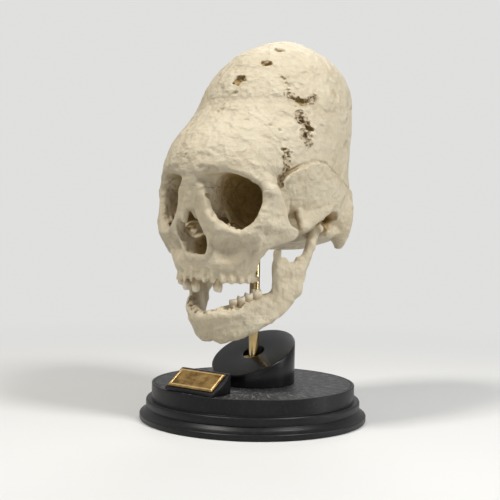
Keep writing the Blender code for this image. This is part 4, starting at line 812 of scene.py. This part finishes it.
def finished(name, points, faces, whole, edge, lines, body):
    """Wrinkle the surface at random, less near the edge, store the painted shade of each point
    and how worn it is, and hand the piece to its body. The painted shade is high where much bone
    lies ahead of a point, in the braincase, the orbit, the nose and the ear; a point is worn near
    the lines."""
    normal = normals_of(points, faces)
    a, b, c = points.T
    wrinkles = np.abs(rough(a, b, c, 5.0, 6)) * np.clip(0.6 + rough(a, b, c, 22.0, 7), 0, 1)
    swell = (0.30 * rough(a, b, c, 9.0, 1) + 0.22 * rough(a, b, c, 3.8, 2)
             + 0.15 * rough(a, b, c, 1.9, 5) - 0.30 * wrinkles)
    points = points + normal * (swell * np.clip(edge, 0, 1))[:, None]
    solid = np.pad((whole.value[::2, ::2, ::2] < 0).astype(np.float32), 16)
    corner = whole.low - 32 * STEP
    # Painted shade: the share of bone ahead of each point, and how deep it sits in the braincase,
    # the orbit, the nose and the ear, for the material to darken.
    hollow_shade = 0.0
    for reach, ahead, weight in ((3.0, 4.0, 0.5), (6.0, 8.0, 0.8), (13.0, 15.0, 1.2)):
        cloud = blurred(solid, max(1, int(round(reach / (2 * STEP)))))
        hollow_shade = hollow_shade + weight * sampled(cloud, corner, points + normal * ahead, 2 * STEP)
    if body == "cranium":
        deep = -sampled(vault, vault_low, np.abs(points) * (1, 0, 0) + points * (0, 1, 1))
        hollow_shade = hollow_shade + np.clip((deep - 1.2) / 2.4, 0, 1) * np.clip((c - 186) / 12, 0, 1)
        a, b, c = points.T
        far = np.clip(np.abs(a) - 14, 0, 40)
        for form, front, share in ((orbit, -72 + 0.5 * far, 0.9), (nose, -68, 1.0),
                                   (ear, -6, 0.45)):
            within = np.clip((1.8 - form[2](np.abs(a), b, c)) / 1.4, 0, 1)
            hollow_shade = hollow_shade + share * within * np.clip((b - front) / 22, 0, 1)
    worn = np.zeros(len(points))
    for line, spread in lines:
        for spot in line:
            far = ((points - spot[:3]) ** 2).sum(1)
            worn = np.maximum(worn, np.exp(-far / (spread * spread)))
    obj = mesh_of(name + "_form", points, faces, bone)
    store(obj, "hollow_shade", hollow_shade)
    store(obj, "worn", worn)
    hand_over(obj, body, "bone", name)


def hand_over(obj, body, slot, *nodes):
    """The piece rides its body and stands in for the nodes of the CAD model; the slot is not
    used.
    """
    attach(obj, body)
    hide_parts(*nodes)


for name, (region, *edges) in REGIONS.items():
    for edge in edges:
        region = np.maximum(region, edge)
    value = np.maximum(skull.value, region - OVERLAP)
    full = np.argwhere(value < 0)
    start, stop = np.maximum(full.min(0) - 2, 0), full.max(0) + 3
    part = tuple(slice(a, b) for a, b in zip(start, stop))
    corner = skull.low + start * STEP
    points, faces = whole_pieces(*skin(value[part], corner))
    whole, region = skull.value[part], region[part]
    inward = -sampled(region, corner, points)
    under = -sampled(whole, corner, points)
    # Points on a suture's rim move up its slope to the outer surface, so that no gutter shows
    rise = np.stack([sampled(whole, corner, points + 0.5 * STEP * unit)
                     - sampled(whole, corner, points - 0.5 * STEP * unit)
                     for unit in np.eye(3)], 1) / STEP
    rise /= np.maximum((rise ** 2).sum(1, keepdims=True), 0.3)
    rim = (np.abs(inward + OVERLAP) < 0.7 * STEP) & (under > 0) & (under < 0.6 * STEP)
    points = points + rise * (under * rim)[:, None]
    finished(name, points, faces, skull, inward / 1.5, near, "cranium")

# The lower jaw
# One bone: a chin and two bodies, two upright plates whose front points are broken short, and the
# heads that turn in the sockets of the temples. It hangs a little open, its tooth sockets jagged.
FRONT = [(41, -24, 100, 4.6), (43.5, -27.5, 114, 4.0), (45.5, -31.0, 127, 3.2)]
BACK = [(45.8, -7.5, 106, 4.6), (47.5, -2.5, 119, 4.2), (49, 1.5, 130, 3.8)]
blades = [np.array(FRONT) + (np.array(BACK) - FRONT) * share for share in (0.2, 0.4, 0.6, 0.8)]
for blade, drop in zip(blades, (1.5, 6.0, 7.5, 3.0)):       # the notch between the two points
    blade[2] -= (blade[2] - blade[1]) * drop / 14
half = Field((0, -76, 58), (66, 18, 162))
half.add(4.5,
         bar((0, -53, 72.0, 6.6), (10, -51.5, 71.5, 6.8), (22, -44, 76, 6.6), (33, -32, 84, 6.2),
             (41.5, -17.5, 95, 5.8), (45.8, -7.5, 106, 4.8)),
         bar((0, -64.0, 84.5, 4.8), (9, -61.5, 85.5, 5.2), (17, -55, 88, 5.6),
             (25, -46, 91.5, 5.6), (33, -34, 95.5, 5.4), (39, -22, 101, 4.6)),
         bar((0, -58, 78.5, 5.8), (9.5, -56, 78.5, 6.0), (20, -49, 82, 5.6),
             (30, -38, 88, 5.4), (39, -23, 95.5, 5.0)),
         bar(*FRONT, (47.0, -31.8, 134.5, 2.6)),
         bar(*BACK, (50.4, 5.0, 140, 3.9), (51.5, 8.6, 150, 3.6)),
         *(bar(*blade) for blade in blades))
half.add(2.0, bar((45.2, 8.6, 151.8, 3.2), (50.6, 8.6, 151.8, 4.2), (56.0, 8.6, 151.6, 3.0)))
jaw = half.mirrored()
x, y, z = jaw.axes()
calm = np.clip((149 - z) / 8, 0, 1)
jaw.value += (calm * (0.8 * rough(x, y, z, 8.0, 9) + 0.35 * rough(x, y, z, 4.0, 11))
              + 1.3 * np.clip(rough(x, y, 0 * z, 2.6, 10) + 0.1, 0, 1)
              * np.clip((z - 90 - (y + 64) * 0.28) / 3, 0, 1)
              * np.clip((-20 - y) / 6, 0, 1) * np.clip((112 - z) / 4, 0, 1))
for px, py, pz in ((4, -65.0, 90), (10.5, -62.0, 91), (16.5, -57.0, 93), (31.0, -38, 98.5)):
    for side in (1, -1):
        jaw.cut(0.6, lump((side * px, py, pz), (2.2, 2.2, 5.0), 0.9, 1.8))
for px, py, pz in ((21.5, -51.5, 94.5), (26.0, -45.0, 96.5), (34.0, -33, 101)):
    jaw.cut(0.6, lump((-px, py, pz), (2.3, 2.3, 5.5), 0.9, 1.8))
for turn in np.linspace(-0.62, 0.62, 15) + chance.uniform(-0.02, 0.02, 15):
    px, py = 31 * math.sin(turn * 1.7), -26 - 40 * math.cos(turn * 1.5)
    top = 90.0 + (py + 64) * 0.25
    jaw.cut(0.5, lump((px, py, top + 1.5), (1.4, 5.0, chance.uniform(1.5, 4.5)), 0.8, 1.8))
for side, top in ((1, 139.5), (-1, 140.5)):
    jaw.cut(0.8, lump((side * 48, -32, top), (6, 5, 4.5), 1.3, 2.4))
points, faces = whole_pieces(*skin(jaw.value, jaw.low))
points[:, 0] += 3.6 * np.clip((100 - points[:, 2]) / 28, 0, 1)      # the chin stands to the left
finished("lower_jaw", points, faces, jaw, np.ones(len(points)), [], "jaw")

# The teeth
# Eight worn teeth of glossy enamel over yellowed dentine. A crown swells a little above its neck
# and ends in a worn, dished edge, over a tapering root that is sunk in its socket.
enamel = Look("enamel", 0.34)
stain = enamel.noise(420.0, 3.0, 0.6)
height = enamel.stored("crown")
colour = enamel.mix((height + (stain - 0.5) * 0.5).over(0.15, 0.75), (0.50, 0.39, 0.24, 1),
                    (0.72, 0.65, 0.50, 1))
colour = enamel.mix((height + (stain - 0.5) * 0.3).over(0.93, 1.02) * 0.7, colour,
                    (0.42, 0.33, 0.21, 1))
enamel.set("Base Color", colour)
enamel.set("Roughness", 0.30 + stain * 0.25)
enamel.relief(stain, 0.0004, 0.5)
# Rows: name, body, place of the neck, how far the crown stands out (down is negative), widths
# along and across the gum, turn of the gum there in degrees, number of cusps
TEETH = [
    ("upper_canine_left", "cranium", (15, -62.5, 111.5), -7.5, 3.4, 3.6, 20, 1),
    ("upper_incisor_right", "cranium", (-5.5, -64, 111.5), -8.5, 3.3, 2.7, -8, 1),
    ("upper_canine_right", "cranium", (-16, -62, 111.5), -7.5, 3.4, 3.6, -24, 1),
    ("upper_premolar_right", "cranium", (-23.5, -58.5, 111.0), -4.0, 3.2, 4.0, -42, 2),
    ("lower_canine_left", "jaw", (21.6, -52.0, 94.0), 4.4, 3.2, 3.6, 42, 1),
    ("lower_premolar_left_1", "jaw", (25.4, -47.6, 95.0), 5.4, 3.3, 3.9, 46, 2),
    ("lower_premolar_left_2", "jaw", (28.6, -42.8, 96.4), 6.4, 3.3, 4.0, 50, 2),
    ("lower_molar_left", "jaw", (31.8, -37.2, 98.2), 7.0, 4.0, 4.3, 54, 4)]
ring = np.linspace(0, math.tau, 56, endpoint=False)
# Rows: height as a share of the crown, width as a share
TOOTH = smooth_line([(-1.3, 0.16), (-1.2, 0.42), (-0.6, 0.62), (-0.1, 0.80), (0.25, 0.98),
                     (0.6, 1.0), (0.86, 0.90), (0.96, 0.74), (0.97, 0.45), (0.95, 0.16)], 5)
for name, body, place, reach, along, across, angle, cusps in TEETH:
    share, wide = TOOTH[:, :1], TOOTH[:, 1:]
    length = np.where(share < 0, 5.6 * np.sign(reach), reach)
    square = (np.abs(np.cos(ring)) ** 2.6 + np.abs(np.sin(ring)) ** 2.6) ** (-1 / 2.6)
    u = wide * along * square * np.cos(ring)
    v = wide * across * square * np.sin(ring) + 0.25 * share
    dish = 0.13 * np.cos(cusps * ring + 0.6) * np.clip((share - 0.8) / 0.15, 0, 1) * wide
    pitted = 0.25 * rough(u, v, 3 * share + place[0], 1.6, 4) * (share > 0.5)
    rise = length * (share + dish) + pitted
    turn = math.radians(angle)
    points, faces = capped(np.stack((place[0] + u * math.cos(turn) - v * math.sin(turn),
                                     place[1] + u * math.sin(turn) + v * math.cos(turn),
                                     place[2] + rise + 0 * u), -1))
    if reach < 0:
        faces = faces[:, ::-1]
    tooth = mesh_of(name + "_form", points, faces, enamel)
    store(tooth, "crown", np.append(np.repeat(TOOTH[:, 0], len(ring)), (-1, 0.9)))
    hand_over(tooth, body, "tooth", name)

# The plinth
# Turned from one blank: a foot with an ogee, a groove, a ring and a drum with a shallow recess
# for the cloth disc. A pocket below takes the nut. Satin black paint with faint turning marks.
satin = Look("black_satin_paint", 0.34)
turned = satin.node("ShaderNodeTexNoise", {"noise_dimensions": "1D"}, {
    "W": satin.node("ShaderNodeSeparateXYZ", ins={0: satin.place}, out="Z"),
    "Scale": 1900.0, "Detail": 3.0})
dust = satin.noise(350.0, 4.0, 0.65)
satin.set("Base Color", satin.mix(dust.over(0.45, 0.8), (0.006, 0.006, 0.007, 1),
                                  (0.014, 0.014, 0.016, 1)))
satin.set("Roughness", 0.27 + dust * 0.16 + turned * 0.05)
satin.set("Specular IOR Level", 0.28)
satin.relief(turned * 0.6 + satin.noise(90.0) * 0.6 + dust * 0.25, 0.00022, 0.5)


def eased(points, size, steps=5):
    """Outline whose corners are rounded: each turns into the curve through the middle of
    (1 - t)^2 a + 2 t (1 - t) corner + t^2 b, with a and b at the size from the corner."""
    points = np.array(points, float)
    sizes = np.broadcast_to(size, len(points))
    t = np.linspace(0, 1, steps)[:, None]
    rows = []
    for before, corner, after, reach in zip(np.roll(points, 1, 0), points,
                                            np.roll(points, -1, 0), sizes):
        ends = []
        for other in (before, after):
            gap = np.linalg.norm(other - corner)
            ends.append(corner + (other - corner) * min(reach / gap, 0.45))
        rows.append((1 - t) ** 2 * ends[0] + 2 * t * (1 - t) * corner + t * t * ends[1])
    return np.vstack(rows)


def turned_piece(name, outline, look, count=160, bend=None):
    """Ring of revolution about Z: the closed outline (radius, height) runs clockwise seen with
    the radius to the right, and goes around in equal steps; bend may move the points."""
    angle = np.linspace(0, math.tau, count, endpoint=False)[:, None]
    points = np.stack((outline[:, 0] * np.cos(angle), outline[:, 0] * np.sin(angle),
                       outline[:, 1] + 0 * angle), -1)
    if bend is not None:
        points[..., 2] = bend(*np.moveaxis(points, -1, 0))
    rows = len(outline)
    a = (np.arange(count)[:, None] * rows + np.arange(rows)).ravel()
    b = (np.arange(count)[:, None] * rows + (np.arange(rows) + 1) % rows).ravel()
    far = count * rows
    faces = np.stack((a, (a + rows) % far, (b + rows) % far, b), 1)
    return mesh_of(name, points.reshape(-1, 3), faces, look)


plinth = turned_piece("plinth_form", eased(
    [(84.3, 1.6), (84.3, 0.0), (90.0, 0.0), (90.0, 4.4), (88.4, 5.0), (86.6, 6.2), (85.2, 7.8),
     (83.8, 9.2), (83.8, 10.2), (84.9, 10.2), (85.0, 11.6), (85.0, 14.6), (84.2, 15.8),
     (80.5, 15.8), (80.5, 28.0), (78.3, 28.0), (78.3, 26.2), (4.3, 26.2), (4.3, 14.0),
     (27.0, 14.0), (27.0, 1.6)],
    (0.2, 0.3, 0.8, 0.9, 0.5, 0.5, 0.5, 0.3, 0.2, 0.2, 0.5, 0.9, 0.5, 0.3, 0.7, 0.3, 0.2, 0.2,
     0.2, 0.2, 0.2)), satin, 240)
hand_over(plinth, "stand", "black_satin", "plinth")

# The disc in the plinth's top
# A thin disc of black cloth laid in the recess, its weave combed into short grey streaks.
cloth = Look("streaked_cloth", 0.62)
radius = cloth.vector("LENGTH", {0: cloth.place}, 1)
around = cloth.vector("SCALE", {0: cloth.vector("NORMALIZE", {0: cloth.place}), 3: 44.0})
outward = cloth.node("ShaderNodeCombineXYZ", ins={2: radius * 260.0})
streak = cloth.noise(1.0, 3.0, 0.6, cloth.vector("ADD", {0: around, 1: outward}))
fleece = cloth.noise(700.0, 3.0, 0.7)
cloth.set("Base Color", cloth.mix((streak * 0.75 + fleece * 0.25).over(0.50, 0.66),
                                  (0.006, 0.006, 0.007, 1), (0.17, 0.17, 0.17, 1)))
cloth.set("Roughness", 0.42 + fleece * 0.3)
cloth.relief(streak * 0.6 + fleece * 0.5, 0.0007, 0.75)
disc = turned_piece("top_disc_form", eased([(6.1, 28.0), (6.1, 26.5), (78.0, 26.5), (78.0, 28.0)],
                                           0.25), cloth, 200)
hand_over(disc, "stand", "black_cloth", "top_disc")

# The collar
# A solid cylinder cut off at a slant, with a flat seat bored into the slope for the sleeve.
# Gloss black on the slope and the wall, with its edge only just broken.
gloss = Look("black_gloss_paint", 0.2)
haze = gloss.noise(240.0, 4.0, 0.6)
gloss.set("Base Color", gloss.mix(haze.over(0.4, 0.8), (0.006, 0.006, 0.007, 1),
                                  (0.010, 0.010, 0.012, 1)))
gloss.set("Roughness", 0.20 + haze * 0.08)
gloss.relief(gloss.noise(45.0), 0.0003, 0.3)
gloss.set("Specular IOR Level", 0.35)
RAISED = 100.0          # height of the top before the slant takes it down


def slanted(x, y, z):
    """Heights near the raised top come down onto the slanted plane 52 + 0.455 y."""
    return np.where(z > RAISED - 10, z - RAISED + 52 + 0.455 * y, z)


collar = turned_piece("collar_form", eased(
    [(6.1, 28.3), (33.0, 28.3), (33.0, RAISED), (8.6, RAISED), (8.6, 45.7), (6.1, 45.7)],
    (0.2, 0.4, 0.9, 0.4, 0.15, 0.2)), gloss, 200, slanted)
hand_over(collar, "stand", "black_satin", "collar")

# The rod, its sleeve, socket, washer and nut
# A drawn rod of polished brass, dulled in long bands, turns in a flanged sleeve of old brass that
# is pressed into the collar. A nut and a washer hold it below, and the skull's socket sits on it.


def metal(name, dark, bright, low, high, fine=1.0):
    """Metal with clouds of tarnish and fine lines along Z."""
    look = Look(name, low, 1.0)
    stretched = look.node("ShaderNodeMapping", ins={"Vector": look.place,
                                                    "Scale": (900.0, 900.0, 30.0 * fine)})
    drawn = look.noise(1.0, 3.0, 0.6, stretched)
    tarnish = look.noise(120.0, 4.0, 0.6)
    look.set("Base Color", look.mix((tarnish * 0.7 + drawn * 0.3).over(0.35, 0.68), dark, bright))
    look.set("Roughness", low + (drawn * 0.5 + tarnish * 0.5) * (high - low))
    look.relief(drawn, 0.0001, 0.35)
    return look


brass = metal("polished_brass", (0.62, 0.44, 0.20, 1), (0.80, 0.64, 0.36, 1), 0.14, 0.30)
old_brass = metal("old_brass", (0.30, 0.20, 0.08, 1), (0.56, 0.41, 0.18, 1), 0.25, 0.50)
steel = metal("zinc_steel", (0.42, 0.42, 0.44, 1), (0.66, 0.66, 0.68, 1), 0.28, 0.48)
rod = turned_piece("rod_form", eased([(0.02, 6.3), (4.0, 6.3), (4.0, 154.6), (0.02, 154.6)],
                                     (0.01, 0.5, 0.6, 0.01)), brass, 64)
hand_over(rod, "rod", "brass", "rod")
sleeve = turned_piece("rod_sleeve_form", eased(
    [(4.3, 14.1), (5.8, 14.1), (5.8, 46.0), (8.3, 46.0), (8.3, 48.2), (4.3, 48.2)],
    (0.2, 0.3, 0.2, 0.5, 0.6, 0.5)), old_brass, 96)
hand_over(sleeve, "stand", "old_brass", "rod_sleeve")

# The label
# A black wedge glued to the disc in front of the collar, and a thin brass plate on its slope.
# The plate has a raised line along its border and is left bare.


def slab(outline, low, high, ease):
    """Points and triangles of a bar along X from low to high: the outline (y, z) with its
    corners rounded, drawn in by the ease at both ends."""
    outline = eased(outline, ease, 4)
    middle = outline.mean(0)
    shrunk = middle + (outline - middle) * (1 - ease / np.abs(outline - middle).max())
    shoulder = (shrunk + 2 * outline) / 3
    rows = [(low, shrunk), (low + ease * 0.3, shoulder), (low + ease, outline),
            (high - ease, outline), (high - ease * 0.3, shoulder), (high, shrunk)]
    return capped(np.stack([np.column_stack((np.full(len(row), at), row)) for at, row in rows]))


wedge = mesh_of("label_wedge_form", *slab(
    [(-76.8, 28.3), (-56, 28.3), (-56, 43.2), (-58, 43.2), (-76.8, 30.3)],
    -23.7, 23.7, 0.35), satin)
hand_over(wedge, "stand", "black_satin", "label_wedge")

# The plate's own grid: places along and across it, and the height of its border there
tilt = math.atan2(13, 19)
u = np.array([-22, -21.8, -21.2, -20.9, -19.9, -19.6, 19.6, 19.9, 20.9, 21.2, 21.8, 22])
v = np.array([-9.5, -9.3, -8.7, -8.4, -7.4, -7.1, 7.1, 7.4, 8.4, 8.7, 9.3, 9.5])
border = np.array([0, 0.5, 0.5, 0.85, 0.85, 0.45, 0.45, 0.85, 0.85, 0.5, 0.5, 0.0])
top = np.minimum(border[:, None], border[None, :])
top[3:9, 3:9] = np.maximum(border[3:9, None], border[None, 3:9])
count = len(u)
sheet = np.stack((u[:, None] + 0 * v, 0 * u[:, None] + v, top), -1)
under = sheet * (1, 1, 0) - (0, 0, 0.02)
points = np.vstack((sheet.reshape(-1, 3), under.reshape(-1, 3)))
i, j = (k.ravel() for k in np.meshgrid(np.arange(count - 1), np.arange(count - 1), indexing="ij"))
a = i * count + j
faces = np.stack((a, a + count, a + count + 1, a + 1), 1)
loop = np.concatenate((np.arange(count - 1), np.arange(count - 1) * count + count - 1,
                       count * count - 1 - np.arange(count - 1),
                       (count - 1 - np.arange(count - 1)) * count))
ahead_of = np.roll(loop, -1)
full = count * count
faces = np.vstack((faces, faces[:, ::-1] + full,
                   np.stack((loop, ahead_of, ahead_of + full, loop + full), 1)))
along, up = points[:, 1], points[:, 2] + 0.62           # 0.62 mm of glue and plate on the slope
y = -67.5 + along * math.cos(tilt) - up * math.sin(tilt)
z = 36.8 + along * math.sin(tilt) + up * math.cos(tilt)
leaf = Look("aged_brass_plate", 0.32, 1.0)
patina = leaf.noise(150.0, 4.0, 0.62)
brushed = leaf.noise(1.0, 3.0, 0.6, leaf.node("ShaderNodeMapping", ins={
    "Vector": leaf.place, "Scale": (90.0, 1500.0, 1500.0)}))
leaf.set("Base Color", leaf.mix(leaf.stored("raised").over(0.6, 0.8) * 0.8, leaf.mix(
    (patina * 0.75 + brushed * 0.25).over(0.35, 0.65), (0.20, 0.115, 0.035, 1),
    (0.46, 0.30, 0.11, 1)), (0.78, 0.58, 0.30, 1)))
leaf.set("Roughness", 0.30 + patina * 0.25)
leaf.relief(brushed * 0.6 + patina * 0.4, 0.00015, 0.5)
plate = mesh_of("label_plate_form", np.column_stack((points[:, 0], y, z)), faces, leaf, False)
store(plate, "raised", points[:, 2])
hand_over(plate, "stand", "brass", "label_plate")

# The hidden pieces
# The felt glued under the foot, the nut and washer in its pocket, the three collar screws and the
# socket in the skull's base can't be seen. They keep the forms of the CAD model.
felt = Look("black_felt", 0.95)
nap = felt.noise(800.0, 4.0, 0.7)
felt.set("Base Color", felt.mix(nap, (0.012, 0.012, 0.013, 1), (0.05, 0.05, 0.052, 1)))
felt.relief(nap, 0.0006, 0.8)
for look, *names in ((felt, "felt_underlay"), (old_brass, "rod_socket"),
                     (steel, "rod_washer", "rod_nut", *(f"collar_screw_{k}" for k in (1, 2, 3)))):
    for name in names:
        materials = bpy.data.objects[name].data.materials
        for k in range(len(materials)):
            materials[k] = look.material

bpy.context.view_layer.update()
